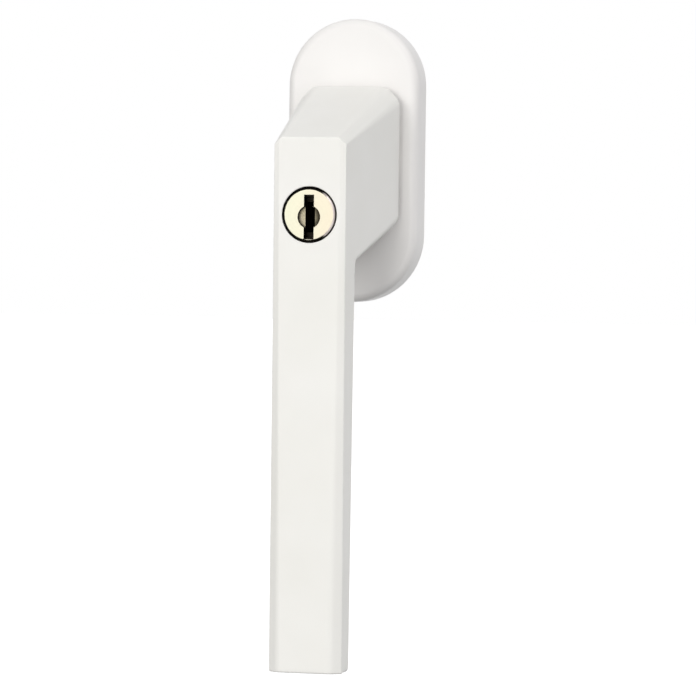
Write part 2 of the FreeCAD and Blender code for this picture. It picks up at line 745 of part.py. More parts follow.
def build_lock_core():
    """Turning core with a key slot across it, slots for the wafers, a journal and a square end."""
    plug = rod("core_plug", "core_radius", "core_rear", "core_front", z="-key_drop")
    journal = rod("core_journal", "journal_radius", "journal_rear", "core_rear + past", z="-key_drop")
    square = block("core_square", "journal_square", "journal_square", "cam_level", "journal_rear + past",
                   z="-key_drop")
    tools = [block("core_key_slot", "key_slot_width", "2 * (core_radius + past)",
                   "core_front - key_slot_depth", "core_front + past", z="-key_drop"),
             rod("core_screw_hole", "cam_screw_radius + seat_clearance", "cam_level - past",
                 "cam_level + cam_screw_length", z="-key_drop")]
    for number in range(int(sheet.get("wafer_count"))):
        half = "wafer_thickness / 2 + wafer_clearance"
        tools.append(block(f"core_wafer_slot_{number + 1}", "wafer_width + 2 * wafer_clearance",
                           "2 * (core_radius + past)", f"{wafer_out(number)} - ({half})",
                           f"{wafer_out(number)} + {half}", z="-key_drop"))
    keep(cut("lock_core", fuse("core_solid", plug, journal, square), *tools))


def build_wafer(number):
    """Plate with a window for the key, and a tongue that drops into the housing's groove."""
    name = f"wafer_{number + 1}"
    rear = f"{wafer_out(number)} - wafer_thickness / 2"
    front = f"{wafer_out(number)} + wafer_thickness / 2"
    plate = block(f"{name}_plate", "wafer_width", "2 * wafer_reach", rear, front, z="-key_drop")
    disc = rod(f"{name}_disc", "wafer_reach - wafer_shoulder", rear, front, z="-key_drop")
    shoulders = common(f"{name}_shoulders", plate, disc)
    bar = block(f"{name}_bar", "wafer_tongue_width", "2 * wafer_reach", rear, front, z="-key_drop")
    round_end = rod(f"{name}_round", "wafer_reach", rear, front, z="-key_drop")
    tongue = common(f"{name}_tongue", bar, round_end)
    window = block(f"{name}_window", "wafer_window_width", "2 * wafer_window_half", f"{rear} - past",
                   f"{front} + past", z="-key_drop")
    keep(cut(name, fuse(f"{name}_solid", shoulders, tongue), window))


def build_lock_cam():
    """Disc with a ramp that climbs by the bolt's travel in half a turn of the key, then stays level."""
    disc = rod("cam_disc", "cam_radius", "cam_level", "cam_front", z="-key_drop")
    middle = "((cam_radius + cam_inner_radius) / 2)"
    path = document.addObject("Part::Helix", "cam_path")
    bind(path, Radius=middle, Height="bolt_travel", Pitch="2 * bolt_travel")
    path.LocalCoord = "Left-handed"
    section = free_sketch("cam_section",
                          [("cam_inner_radius", "0"), ("cam_radius", "0"),
                           ("cam_radius", "-bolt_travel"), ("cam_inner_radius", "-bolt_travel")],
                          FreeCAD.Rotation(X_AXIS, 90))
    ramp = document.addObject("Part::Sweep", "cam_ramp")
    ramp.Sections = [section]
    ramp.Spine = (path, [])
    ramp.Solid = True
    ramp.Frenet = True
    place(ramp, "0", "cam_level", "-key_drop", INWARD.multiply(FreeCAD.Rotation(Z_AXIS, -90)))
    room = rod("cam_room", "cam_radius + past", "cam_top - past", "cam_level + cam_disc / 2", z="-key_drop")
    climbing = common("cam_climb", ramp, room)
    dwell_outer = document.addObject("Part::Cylinder", "cam_dwell_outer")
    bind(dwell_outer, Radius="cam_radius", Height="bolt_travel + cam_disc / 2", Angle="cam_dwell_angle")
    place(dwell_outer, "0", "cam_level + cam_disc / 2", "-key_drop")
    dwell_turn = formula("90 - cam_dwell_angle")
    dwell_outer.setExpression("Placement.Rotation", f"rotation(vector(1; 0; 0); -90) * "
                                                    f"rotation(vector(0; 0; 1); {dwell_turn})")
    dwell = cut("cam_dwell", dwell_outer, rod("cam_dwell_inner", "cam_inner_radius", "cam_top - past",
                                              "cam_front", z="-key_drop"))
    hole = block("cam_square_hole", "journal_square + 2 * journal_square_clearance",
                 "journal_square + 2 * journal_square_clearance", "cam_top - past", "cam_front + past",
                 z="-key_drop")
    keep(cut("lock_cam", fuse("cam_solid", disc, climbing, dwell), hole))


def build_cam_screw():
    """Small screw that holds the cam on the core."""
    shank = rod("cam_screw_shank", "cam_screw_radius", "cam_level - cam_screw_head / 2",
                "cam_level + cam_screw_length - turn_play", z="-key_drop")
    head = rod("cam_screw_head_disc", "cam_screw_head_radius", "cam_level - cam_screw_head", "cam_level",
               z="-key_drop")
    slot = block("cam_screw_groove", "2 * (cam_screw_head_radius + past)", "cam_screw_slot",
                 "cam_level - cam_screw_head - past", "cam_level - cam_screw_head / 2", z="-key_drop")
    keep(cut("cam_screw", fuse("cam_screw_solid", shank, head), slot))


def build_locking_bolt():
    """Turned pin: shank through the neck's rear, flange for the spring, and a round nose on the cam."""
    line = "-bolt_offset"
    shank = rod("bolt_shank", "bolt_radius", "bolt_tip", "bolt_flange_front", z=line)
    flange = rod("bolt_flange_disc", "bolt_flange_radius", "bolt_flange_rear", "bolt_flange_front", z=line)
    centre = "bolt_nose_front - bolt_nose_radius"
    nose = rod("bolt_nose", "bolt_nose_radius", "bolt_flange_rear", centre, z=line)
    end = ball("bolt_nose_end", "bolt_nose_radius", "0", centre, line)
    keep(fuse("locking_bolt", shank, flange, nose, end))


def build_bolt_spring():
    """Compression spring round the bolt's shank, which pulls the bolt back when the key opens."""
    rise = "(bolt_spring_length - 2 * bolt_wire_radius)"
    pitch = f"{rise} / bolt_spring_turns"
    spring = coil("bolt_spring", "bolt_spring_radius", "bolt_wire_radius", rise, pitch)
    place(spring, "0", "bolt_flange_rear - spring_end_gap - bolt_wire_radius", "-bolt_offset", INWARD)
    keep(spring)


def build_all():
    """Makes every sub-part."""
    fill_sheet()
    build_base_plate()
    build_cover()
    build_bearing_bush()
    build_fixing_screw("fixing_screw_upper", 1)
    build_fixing_screw("fixing_screw_lower", -1)
    build_detent("right", 1)
    build_detent("left", -1)
    build_handle_casting()
    build_slide_ring()
    build_spindle()
    build_washer_and_circlip()
    build_spindle_grub_screw()
    build_lock_grub_screw()
    build_lock_face()
    build_lock_housing()
    build_lock_core()
    for number in range(int(sheet.get("wafer_count"))):
        build_wafer(number)
    build_lock_cam()
    build_cam_screw()
    build_locking_bolt()
    build_bolt_spring()
    document.recompute()


def check_all():
    """Stops if any object failed or any sub-part is not a sound solid."""
    for item in document.Objects:
        if "Invalid" in item.State or "Error" in item.State:
            raise ValueError(f"{item.Name} did not come out: {item.State}")
    for item in nodes:
        if item.Shape.isNull() or not item.Shape.isValid():
            raise ValueError(f"{item.Label} is not a sound solid")
        print(item.Label, "solids", len(item.Shape.Solids), "volume", round(item.Shape.Volume, 2))


def write_all():
    """Writes each sub-part to a file of its own."""
    os.makedirs("parts", exist_ok=True)
    for item in nodes:
        item.Shape.exportStep(f"parts/{item.Label}.step")


build_all()
check_all()
write_all()
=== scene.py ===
import json
import math

import bmesh
import bpy
import numpy as np
from mathutils import Matrix


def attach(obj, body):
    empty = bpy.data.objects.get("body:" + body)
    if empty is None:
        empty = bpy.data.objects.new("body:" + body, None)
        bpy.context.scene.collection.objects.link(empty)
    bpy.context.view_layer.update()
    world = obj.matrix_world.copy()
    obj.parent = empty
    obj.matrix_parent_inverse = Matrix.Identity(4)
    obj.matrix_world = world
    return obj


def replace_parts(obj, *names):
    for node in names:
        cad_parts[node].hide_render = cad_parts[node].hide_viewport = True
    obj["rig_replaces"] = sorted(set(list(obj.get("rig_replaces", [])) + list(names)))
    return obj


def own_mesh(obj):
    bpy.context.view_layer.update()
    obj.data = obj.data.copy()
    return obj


# A locking window handle: painted casting and rosette cover, nickel-plated lock, steel hardware.
# Points are worked out in millimetres and become metres when a mesh is made.
# +X is to the right, +Y into the window, +Z up; the spindle runs along Y through the origin.

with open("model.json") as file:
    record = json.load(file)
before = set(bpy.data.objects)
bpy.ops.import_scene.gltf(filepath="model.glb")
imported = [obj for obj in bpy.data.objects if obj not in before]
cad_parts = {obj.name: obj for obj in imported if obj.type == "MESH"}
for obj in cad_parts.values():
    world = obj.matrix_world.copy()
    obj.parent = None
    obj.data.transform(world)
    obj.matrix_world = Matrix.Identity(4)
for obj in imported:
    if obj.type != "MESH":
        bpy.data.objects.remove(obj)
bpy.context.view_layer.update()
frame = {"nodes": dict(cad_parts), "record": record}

MM = 0.001
MERGE = 0.0004 * MM
QUARTER = math.pi / 2
FULL = 2 * math.pi
FINE_RING = 144

# Casting
FRONT = -49.6
FRONT_TOP = 4.67
NECK_REAR = -11.6
NECK_LENGTH = NECK_REAR - FRONT
TIP = -124.43
FRONT_HALF_WIDTH = 8.9
NECK_HALF_WIDTH = 12.9
NECK_HALF_HEIGHT = 18.35
NECK_TOP_HALF = 9.4
NECK_SIDE_HALF = 14.85
BACK_BEND_Y = -40.4
BACK_BEND_Z = -26.14

# Rounds of the casting's edges
EDGE_ROUND = 0.45
GRIP_ROUND = 2.8
GRIP_ROUND_TOP = -10.0
NECK_ROUND = 3.5
BACK_ROUND = 2.15
TIP_ROUND = 1.2

# Rows of the casting's skin: its stations turn about a line behind the grip
PIVOT_Y = -36.0
PIVOT_Z = -30.63
TURN_LENGTH = 40.0
RIM_STEPS = 5

# Columns of the casting's skin: arcs at the octagon's corners, and points on its wide and narrow sides
ARC = 8
WIDE = [0.02, 0.08, 0.2, 0.35, 0.5, 0.65, 0.8, 0.92, 0.98]
NARROW = [0.12, 0.5, 0.88]
WIDE_COLUMNS = ARC + 1 + len(WIDE)
PAIR_COLUMNS = WIDE_COLUMNS + ARC + 1 + len(NARROW)

# Lock
LOCK_Z = -13.93
KEYHOLE_Z = -14.48
# Middle of the painted highlight on the lock core, left of the keyhole's middle
LIT_CORE_X = -1.4
BORE_RADIUS = 6.8
BORE_RIM = 0.2
BORE_BLOCK = 8.1
BORE_FLOOR = -25.9
FACE_RADIUS = 6.45
FACE_CHAMFER = 0.4
FACE_FRONT = -49.9
FACE_REAR = -48.7
HOLE_RADIUS = 2.75
SLOT_HALF_WIDTH = 1.2
SLOT_HALF_HEIGHT = 5.35

# Bolt
BOLT_Z = -9.8
CHAMBER_RADIUS = 3.4
CHAMBER_FRONT = -25.3
CHAMBER_REAR = -15.6
GUIDE_RADIUS = 1.85

# Grub screw holes
GRUB_Y = -22.6
GRUB_RADIUS = 2.55
GRUB_LIP = 2.7
GRUB_SUNK = 0.15
GRUB_BLOCK = 4.0
GRUB_COLUMNS = (3, 7)
GRUB_FLOOR_X = -3.6
LOCK_GRUB_Y = -36.6
LOCK_GRUB_RADIUS = 1.55
LOCK_GRUB_BLOCK = (-33.9, -38.85)
LOCK_GRUB_COLUMNS = (4, 7)
LOCK_GRUB_GAP = 0.05
GRUB_POINTS = 48

# Collar, with notches for the detent balls and a groove for the circlip
REAR_FACE_RADIUS = 12.2
COLLAR_FOOT_RADIUS = 7.7
COLLAR_RADIUS = 6.5
COLLAR_END = -0.5
COLLAR_CHAMFER = 0.2
NOTCH_PLACE = 7.2
NOTCH_RADIUS = 1.3
NOTCH_FRONT = -6.15
NOTCH_REAR = -3.65
GROOVE_FRONT = -2.0
GROOVE_REAR = -1.2
GROOVE_DEPTH = 0.6
SQUARE_HALF = 3.55
SQUARE_CORNER = 0.15
SQUARE_FLOOR = -33.8

# Rosette cover
COVER_RADIUS = 16.75
COVER_STRAIGHT = 18.55
COVER_FRONT = -9.0
COVER_WALL = 1.5
COVER_ROUND = 2.0
COVER_HOLE = 12.1
COVER_LIP = 0.12

# Hardware
SPINDLE_HALF = 3.5
SPINDLE_FRONT = -33.6
SPINDLE_REAR = 37.0
SCREW_Z = 21.5


# Surfaces

def soft_path(points, radii, steps=9, run_points=400):
    """A path through points with round corners.

    An arc starts r tan(turn / 2) before its corner, and its points are
    start + r sin a along the way in + r (1 - cos a) towards the way out, with a from 0 to the turn.
    """
    points = [np.array(point, float) for point in points]
    parts = []
    leave = points[0]
    for before, corner, after, radius in zip(points, points[1:], points[2:], radii):
        into = (corner - before) / np.linalg.norm(corner - before)
        out = (after - corner) / np.linalg.norm(after - corner)
        turn = math.acos(float(np.clip(into @ out, -1, 1)))
        aside = out - (out @ into) * into
        aside = aside / np.linalg.norm(aside)
        start = corner - into * radius * math.tan(turn / 2)
        angle = np.linspace(0, turn, steps)[:, None]
        arc = start + radius * (np.sin(angle) * into + (1 - np.cos(angle)) * aside)
        share = np.linspace(0, 1, run_points, endpoint=False)[:, None]
        parts += [leave + (start - leave) * share, arc[:-1]]
        leave = arc[-1]
    share = np.linspace(0, 1, run_points)[:, None]
    parts.append(leave + (points[-1] - leave) * share)
    return np.concatenate(parts)


def rounded_outline(corners, radii, arc_steps, shares):
    """Outlines of rounded polygons, one for each row of corners taken anticlockwise.

    The arcs follow the same rule as a soft path's, and a straight side has points at shares of its length.
    """
    forward = np.roll(corners, -1, axis=1) - corners
    out = forward / np.linalg.norm(forward, axis=2, keepdims=True)
    into = np.roll(out, 1, axis=1)
    turn = np.arctan2(into[..., 0] * out[..., 1] - into[..., 1] * out[..., 0], (into * out).sum(axis=2))
    inward = np.stack([-into[..., 1], into[..., 0]], axis=-1)
    start = corners - into * (radii * np.tan(turn / 2))[..., None]
    angle = turn[..., None] * np.linspace(0, 1, arc_steps + 1)
    along_part = (radii[..., None] * np.sin(angle))[..., None] * into[:, :, None]
    inward_part = (radii[..., None] * (1 - np.cos(angle)))[..., None] * inward[:, :, None]
    arcs = start[:, :, None] + along_part + inward_part
    blocks = []
    for i, share in enumerate(shares):
        leave = arcs[:, i, -1:]
        reach = start[:, (i + 1) % len(shares)][:, None]
        blocks += [arcs[:, i], leave + (reach - leave) * np.array(share)[:, None]]
    return np.concatenate(blocks, axis=1)


def outline_inward(flat):
    """Unit vectors that point into each outline: the way from one neighbour to the other, turned left."""
    along = np.roll(flat, -1, axis=1) - np.roll(flat, 1, axis=1)
    along = along / np.maximum(np.linalg.norm(along, axis=2, keepdims=True), 1e-9)
    return np.stack([-along[..., 1], along[..., 0]], axis=-1)


def quarter_round(radius, steps):
    """The two parts of a quarter circle: r (1 - cos a) inward and r sin a along."""
    angle = np.linspace(0, QUARTER, steps + 1)
    return radius * (1 - np.cos(angle)), radius * np.sin(angle)


def circle_angles(count):
    """Evenly spaced angles round a circle."""
    return np.arange(count) * FULL / count


def at_depth(flat, y):
    """Points given as x and z, placed at one depth or at a depth for each."""
    return np.stack([flat[:, 0], np.broadcast_to(y, len(flat)), flat[:, 1]], axis=1)


def ring(radius, y, z=0.0, count=96):
    """A circle about an axis along Y: x = r cos a, z = r sin a. The radius may differ between points."""
    angle = circle_angles(count)
    return at_depth(np.stack([radius * np.cos(angle), z + radius * np.sin(angle)], axis=1), y)


def turned(profile, z=0.0, count=96):
    """A surface of revolution about an axis along Y: one ring for each (radius, y) of the profile."""
    return np.stack([ring(radius, y, z, count) for radius, y in profile])


def stadium(radius, straight, arc_points=64, side_points=28):
    """Points and outward directions of an upright outline: half circles r (cos a, sin a) and two sides."""
    angle = np.linspace(0, math.pi, arc_points)
    direction = np.stack([np.cos(angle), np.sin(angle)], axis=1)
    upper = radius * direction + [0, straight]
    lower = -radius * direction - [0, straight]
    share = np.linspace(0, 1, side_points + 2)[1:-1, None]
    left = upper[-1] + (lower[0] - upper[-1]) * share
    right = lower[-1] + (upper[0] - lower[-1]) * share
    points = np.concatenate([upper, left, lower, right])
    side_out = np.tile([1.0, 0.0], (side_points, 1))
    return points, np.concatenate([direction, -side_out, -direction, side_out])


def square_outline(half, radius, steps=4):
    """A square with small round corners, in x and z."""
    corners = np.array([[[half, half], [-half, half], [-half, -half], [half, -half]]])
    side = [0.1, 0.5, 0.9]
    return rounded_outline(corners, np.full((1, 4), radius), steps, [side] * 4)[0]


def block_loop(points, first, last, left, right):
    """The border of a block of a grid, once round."""
    top = points[first, left:right]
    down = points[first:last, right]
    bottom = points[last, right:left:-1]
    up = points[last:first:-1, left]
    return np.concatenate([top, down, bottom, up])


class Shell:
    """Gathers grids of points whose borders meet, and makes one closed mesh of them."""

    def __init__(self):
        self.points = []
        self.faces = []
        self.paints = []
        self.count = 0

    def add(self, points, faces, paint):
        """Adds points with faces that number them from 0; paint picks the material."""
        self.points.append(points)
        self.faces += (faces + self.count).tolist()
        self.paints += [paint] * len(faces)
        self.count += len(points)

    def grid(self, points, keep=None, paint=0):
        """A grid that closes on itself across its columns; keep leaves faces out."""
        rows, columns = points.shape[:2]
        number = np.arange(rows * columns).reshape(rows, columns)
        number = np.concatenate([number, number[:, :1]], axis=1)
        faces = np.stack([number[:-1, :-1], number[:-1, 1:], number[1:, 1:], number[1:, :-1]], axis=-1)
        if keep is not None:
            faces = faces[keep]
        self.add(points.reshape(-1, 3), faces.reshape(-1, 4), paint)

    def cap(self, loop, paint=0):
        """Closes a ring with triangles round its middle."""
        count = len(loop)
        corner = np.arange(count)
        faces = np.stack([corner, (corner + 1) % count, np.full(count, count)], axis=1)
        self.add(np.concatenate([loop, loop.mean(axis=0)[None]]), faces, paint)

    def between(self, outer, inner, centre, axes=(0, 2), paint=0):
        """Flat triangles between two rings round one centre.

        Both rings are walked in order of their angle about the centre. Each step takes the ring whose next
        point comes first: that side is its triangle's base, and the other ring's point is its tip.
        """
        def by_angle(loop):
            """Points in order of their angle, and the angle at which each one's side ends."""
            flat = loop[:, axes] - np.array(centre)
            angle = np.arctan2(flat[:, 1], flat[:, 0]) % FULL
            order = np.argsort(angle)
            ends = np.append(angle[order][1:], FULL + angle[order][0])
            return loop[order], ends

        outer, outer_ends = by_angle(outer)
        inner, inner_ends = by_angle(inner)
        outer_count, inner_count = len(outer), len(inner)
        order = np.argsort(np.concatenate([outer_ends, inner_ends]), kind="stable")
        on_outer = order < outer_count
        a = np.cumsum(on_outer) - on_outer
        b = np.cumsum(~on_outer) - ~on_outer
        ahead = np.where(on_outer, (a + 1) % outer_count, outer_count + (b + 1) % inner_count)
        faces = np.stack([a % outer_count, ahead, outer_count + b % inner_count], axis=1)
        self.add(np.concatenate([outer, inner]), faces, paint)

    def build(self, name, body, node, materials):
        """Makes the piece, in metres."""
        mesh = bpy.data.meshes.new(name)
        mesh.from_pydata((np.concatenate(self.points) * MM).tolist(), [], self.faces)
        mesh.polygons.foreach_set("material_index", self.paints)
        return finish_piece(name, mesh, body, node, materials)


def new_object(name, data):
    """Puts a mesh, a lamp or a camera in the scene."""
    item = bpy.data.objects.new(name, data)
    bpy.context.collection.objects.link(item)
    return item


def finish_piece(name, mesh, body, node, materials, keep_flat=False):
    """Joins a mesh's borders, turns its faces outward, and shades it smooth up to its sharp edges.

    With keep_flat, an edge is also sharp where a face meets one of less than a tenth of its size, so that
    flat faces beside fine rounds shade as flat.
    """
    sharp_turn, slight_turn = math.radians(32), math.radians(1)
    shape = bmesh.new()
    shape.from_mesh(mesh)
    bmesh.ops.remove_doubles(shape, verts=shape.verts, dist=MERGE)
    bmesh.ops.dissolve_degenerate(shape, edges=shape.edges, dist=MERGE)
    bmesh.ops.recalc_face_normals(shape, faces=shape.faces)
    for edge in shape.edges:
        areas = sorted(face.calc_area() for face in edge.link_faces)
        turn = edge.calc_face_angle(0.0)
        beside_flat = keep_flat and areas[-1] > 10 * areas[0] and turn > slight_turn
        edge.smooth = turn < sharp_turn and not beside_flat
    shape.to_mesh(mesh)
    shape.free()
    mesh.polygons.foreach_set("use_smooth", [True] * len(mesh.polygons))
    for material in materials:
        mesh.materials.append(material)
    piece = new_object(name, mesh)
    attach(piece, body)
    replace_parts(piece, node)
    return piece


# Casting

def station(points):
    """How far along the handle a point lies.

    On the neck it is the depth before the pivot, then the angle about the pivot times a length,
    and on the grip the height below the pivot after that.
    """
    back = points[..., 1] - PIVOT_Y
    up = points[..., 2] - PIVOT_Z
    turned_by = TURN_LENGTH * np.arctan2(-back, up) / QUARTER
    return np.where(back > 0, -back, np.where(up < 0, TURN_LENGTH - up, turned_by))


def outward(points):
    """Distance of a point from the line that its station plane turns about."""
    back = points[..., 1] - PIVOT_Y
    up = points[..., 2] - PIVOT_Z
    return np.where(back > 0, up, np.where(up < 0, -back, np.hypot(back, up)))


def station_of(y, z):
    """Station of one point of the middle plane."""
    return float(station(np.array([0.0, y, z])))


def in_space(along, flat):
    """Puts outline points (x, distance outward) of each station plane back in space.

    The plane leans by a: y = base - outward sin a, z = base + outward cos a.
    """
    angle = np.clip(along / TURN_LENGTH, 0, 1)[:, None] * QUARTER
    base_y = PIVOT_Y - np.minimum(along, 0)[:, None]
    base_z = PIVOT_Z - np.maximum(along - TURN_LENGTH, 0)[:, None]
    x = flat[..., 0]
    y = base_y - flat[..., 1] * np.sin(angle)
    z = base_z + flat[..., 1] * np.cos(angle)
    return np.stack([x, y, z], axis=-1)


def side_at(y):
    """Half width between the flaring sides, which grows evenly from the front to the neck's rear."""
    return FRONT_HALF_WIDTH + (NECK_HALF_WIDTH - FRONT_HALF_WIDTH) * (y - FRONT) / NECK_LENGTH


def on_side(y, z):
    """A point of the flaring right side."""
    return side_at(y), y, z


def casting_paths():
    """The four long edges of the right half: front, side front, side back and back."""
    front = [(NECK_TOP_HALF, NECK_REAR, NECK_HALF_HEIGHT), (7.15, FRONT, FRONT_TOP), (7.7, FRONT, 4.12),
             (6.7, FRONT, TIP)]
    side_front = [(NECK_HALF_WIDTH, NECK_REAR, NECK_SIDE_HALF), on_side(-49.35, 3.035), on_side(-47.8, TIP)]
    side_back = [(NECK_HALF_WIDTH, NECK_REAR, -NECK_SIDE_HALF), on_side(-41.86, -24.43), on_side(-42.66, TIP)]
    back = [(NECK_TOP_HALF, NECK_REAR, -NECK_HALF_HEIGHT), (7.695, BACK_BEND_Y, BACK_BEND_Z),
            (8.38, -40.45, -31.13), (8.32, -41.2, TIP)]
    return [soft_path(front, [EDGE_ROUND, 0.3]), soft_path(side_front, [EDGE_ROUND]),
            soft_path(side_back, [2.0]), soft_path(back, [2.0, 6.0])]


def at_stations(path, along):
    """x and distance outward of a long edge at each station, in between its own points."""
    where = station(path)
    order = np.argsort(where)
    x = np.interp(along, where[order], path[order, 0])
    far = np.interp(along, where[order], outward(path)[order])
    return np.stack([x, far], axis=1)


def casting_outlines(along, paths):
    """Rounded octagon at each station, from its front's right corner round by the left side.

    The arcs' radius grows evenly from the grip's fine edge to the neck's full round. Behind the grip it
    settles to one value with the curve 3 s^2 - 2 s^3, and in front it grows evenly to the tip.
    """
    front, side_front, side_back, back = [at_stations(path, along) for path in paths]
    mirror = np.array([-1.0, 1.0])
    corners = np.stack([front, front * mirror, side_front * mirror, side_back * mirror, back * mirror,
                        back, side_back, side_front], axis=1)
    in_front = np.array([1, 1, 0, 0, 0, 0, 0, 0])
    behind = np.array([0, 0, 0, 1, 1, 1, 1, 0])
    placed = in_space(along, corners)
    share = np.clip((placed[..., 1] - FRONT) / NECK_LENGTH, 0, 1)
    radii = EDGE_ROUND + (NECK_ROUND - EDGE_ROUND) * share
    settle_start, settle_length = 0.28, 0.5
    settle = np.clip((along / TURN_LENGTH - settle_start) / settle_length, 0, 1)[:, None]
    settle = settle * settle * (3 - 2 * settle)
    radii = radii + (BACK_ROUND - radii) * settle * behind
    lower = np.clip((placed[..., 2] - GRIP_ROUND_TOP) / (TIP - GRIP_ROUND_TOP), 0, 1)
    radii = radii + (GRIP_ROUND - EDGE_ROUND) * lower * in_front
    return rounded_outline(corners, radii, ARC, [WIDE, NARROW] * 4)


class CastingSkin:
    """The casting's outside as a grid: a row is the octagon at one station, a column runs along it.

    Faces are taken out where the bores go in.
    """

    def __init__(self):
        self.paths = casting_paths()
        self.end = station_of(FRONT, TIP)
        self.rear = PIVOT_Y - NECK_REAR
        back = self.paths[-1]
        under_neck = [back[np.argmin(abs(back[:, 1] - y))] for y in LOCK_GRUB_BLOCK]
        self.bore_block = [station_of(FRONT, LOCK_Z + BORE_BLOCK), station_of(FRONT, LOCK_Z - BORE_BLOCK)]
        self.grub_block = [PIVOT_Y - GRUB_Y - GRUB_BLOCK, PIVOT_Y - GRUB_Y + GRUB_BLOCK]
        self.lock_grub_block = [float(station(point)) for point in under_neck]
        self.marks = self.row_stations()
        self.points = np.concatenate([self.rim_rows(), self.long_rows()[1:], self.tip_rows()])
        self.keep = np.ones((len(self.points) - 1, self.points.shape[1]), bool)

    def row_stations(self):
        """Where the rows lie: close together at the front's top, the bend behind and the lock."""
        neck_rows, turn_rows, bend_rows, bore_rows, grip_rows = 15, 41, 37, 15, 24
        top_reach, bend_reach, bend_height = 0.9, 9, -26.0
        front_top = station_of(FRONT, FRONT_TOP)
        back_bend = station_of(BACK_BEND_Y, bend_height)
        bore_heights = np.linspace(LOCK_Z + BORE_BLOCK, LOCK_Z - BORE_BLOCK, bore_rows)
        marks = np.concatenate([
            np.linspace(self.rear + EDGE_ROUND, 0, neck_rows),
            self.grub_block,
            self.lock_grub_block,
            np.linspace(0, TURN_LENGTH, turn_rows),
            front_top + np.linspace(-top_reach, top_reach, bend_rows),
            back_bend + np.linspace(-bend_reach, bend_reach, bend_rows),
            [station_of(FRONT, z) for z in bore_heights],
            np.linspace(TURN_LENGTH, self.end - TIP_ROUND, grip_rows),
        ])
        return np.unique(np.round(marks, 4))

    def long_rows(self):
        """The rows between the rim and the tip, with the front made exactly flat below its top."""
        rows = in_space(self.marks, casting_outlines(self.marks, self.paths))
        flat_below, close = 3.8, 0.02
        on_front = (rows[..., 1] < FRONT + close) & (rows[..., 2] < flat_below)
        rows[..., 1] = np.where(on_front, FRONT, rows[..., 1])
        return rows

    def rim_rows(self):
        """Rounded rim at the neck's rear: inward by r (1 - cos a), back by r sin a."""
        inset, along = quarter_round(EDGE_ROUND, RIM_STEPS)
        marks = self.rear + EDGE_ROUND - along
        flat = casting_outlines(marks, self.paths)
        flat = flat + outline_inward(flat) * inset[:, None, None]
        return in_space(marks, flat)[::-1]

    def tip_rows(self):
        """Rounded edge at the tip: inward by r (1 - cos a), down by r sin a, with a finer r in front."""
        steps, fine_depth, fade = 7, 2.4, 1.6
        angle = np.linspace(0, QUARTER, steps)[:, None]
        flat = casting_outlines(np.full(steps, self.end), self.paths)
        depth = flat[0, :, 1]
        share = np.clip((depth.max() - fine_depth - depth) / fade, 0, 1)
        radius = EDGE_ROUND + (TIP_ROUND - EDGE_ROUND) * share
        flat = flat + outline_inward(flat) * (radius * (1 - np.cos(angle)))[..., None]
        rows = in_space(np.full(steps, self.end), flat)
        rows[..., 2] = TIP + radius * (1 - np.sin(angle))
        return rows

    def open_block(self, block, left, right):
        """Takes out the faces between two stations and two columns, and gives the border that is left."""
        first, last = [RIM_STEPS + int(np.argmin(abs(self.marks - mark))) for mark in block]
        self.keep[first:last, left:right] = False
        return block_loop(self.points, first, last, left, right)


def add_lock_bore(shell, skin):
    """The lock's bore with its rounded rim, then the bolt's chamber and guide behind it."""
    loop = skin.open_block(skin.bore_block, ARC, WIDE_COLUMNS)
    margin, rim_steps = 0.12, 5
    outer = BORE_RADIUS + BORE_RIM
    dips, reaches = quarter_round(BORE_RIM, rim_steps)
    rim = [(outer + margin, FRONT)] + [(outer - reach, FRONT + dip) for dip, reach in zip(dips, reaches)]
    shell.between(loop, ring(outer + margin, FRONT, LOCK_Z), (0, LOCK_Z))
    shell.grid(turned(rim, LOCK_Z))
    chamber = [ring(BORE_RADIUS, FRONT + BORE_RIM, LOCK_Z), ring(BORE_RADIUS, BORE_FLOOR, LOCK_Z),
               ring(CHAMBER_RADIUS, CHAMBER_FRONT, BOLT_Z), ring(CHAMBER_RADIUS, CHAMBER_REAR, BOLT_Z),
               ring(GUIDE_RADIUS, CHAMBER_REAR, BOLT_Z), ring(GUIDE_RADIUS, NECK_REAR, BOLT_Z)]
    # The bore's walls and the bolt's chamber take the second material, a near black painted shade
    shell.grid(np.stack(chamber), paint=1)


def add_grub_hole(shell, skin):
    """The spindle's grub screw hole, level, through the left side that flares."""
    left, right = [PAIR_COLUMNS + ARC + column for column in GRUB_COLUMNS]
    loop = skin.open_block(skin.grub_block, left, right)
    angle = circle_angles(GRUB_POINTS)

    def on_left_side(radius):
        """A circle about the hole's axis, laid on the left side."""
        y = GRUB_Y + radius * np.cos(angle)
        return np.stack([-side_at(y), y, radius * np.sin(angle)], axis=1)

    lip = on_left_side(GRUB_LIP)
    sunk = on_left_side(GRUB_RADIUS) + [GRUB_SUNK, 0, 0]
    floor = sunk.copy()
    floor[:, 0] = GRUB_FLOOR_X
    shell.between(loop, lip, (GRUB_Y, 0), axes=(1, 2))
    shell.grid(np.stack([lip, sunk, floor]))
    shell.cap(floor)


def add_lock_grub_hole(shell, skin):
    """The lock's grub screw hole, upright, through the neck's sloping underside."""
    left, right = [2 * PAIR_COLUMNS + ARC + column for column in LOCK_GRUB_COLUMNS]
    loop = skin.open_block(skin.lock_grub_block, left, right)
    angle = circle_angles(GRUB_POINTS)
    x = LOCK_GRUB_RADIUS * np.cos(angle)
    y = LOCK_GRUB_Y + LOCK_GRUB_RADIUS * np.sin(angle)
    slope = (BACK_BEND_Z + NECK_HALF_HEIGHT) / (BACK_BEND_Y - NECK_REAR)
    mouth = np.stack([x, y, slope * (y - NECK_REAR) - NECK_HALF_HEIGHT], axis=1)
    floor = mouth.copy()
    floor[:, 2] = LOCK_Z - BORE_RADIUS - LOCK_GRUB_GAP
    shell.between(loop, mouth, (0, LOCK_GRUB_Y), axes=(0, 1))
    shell.grid(np.stack([mouth, floor]))
    shell.cap(floor)


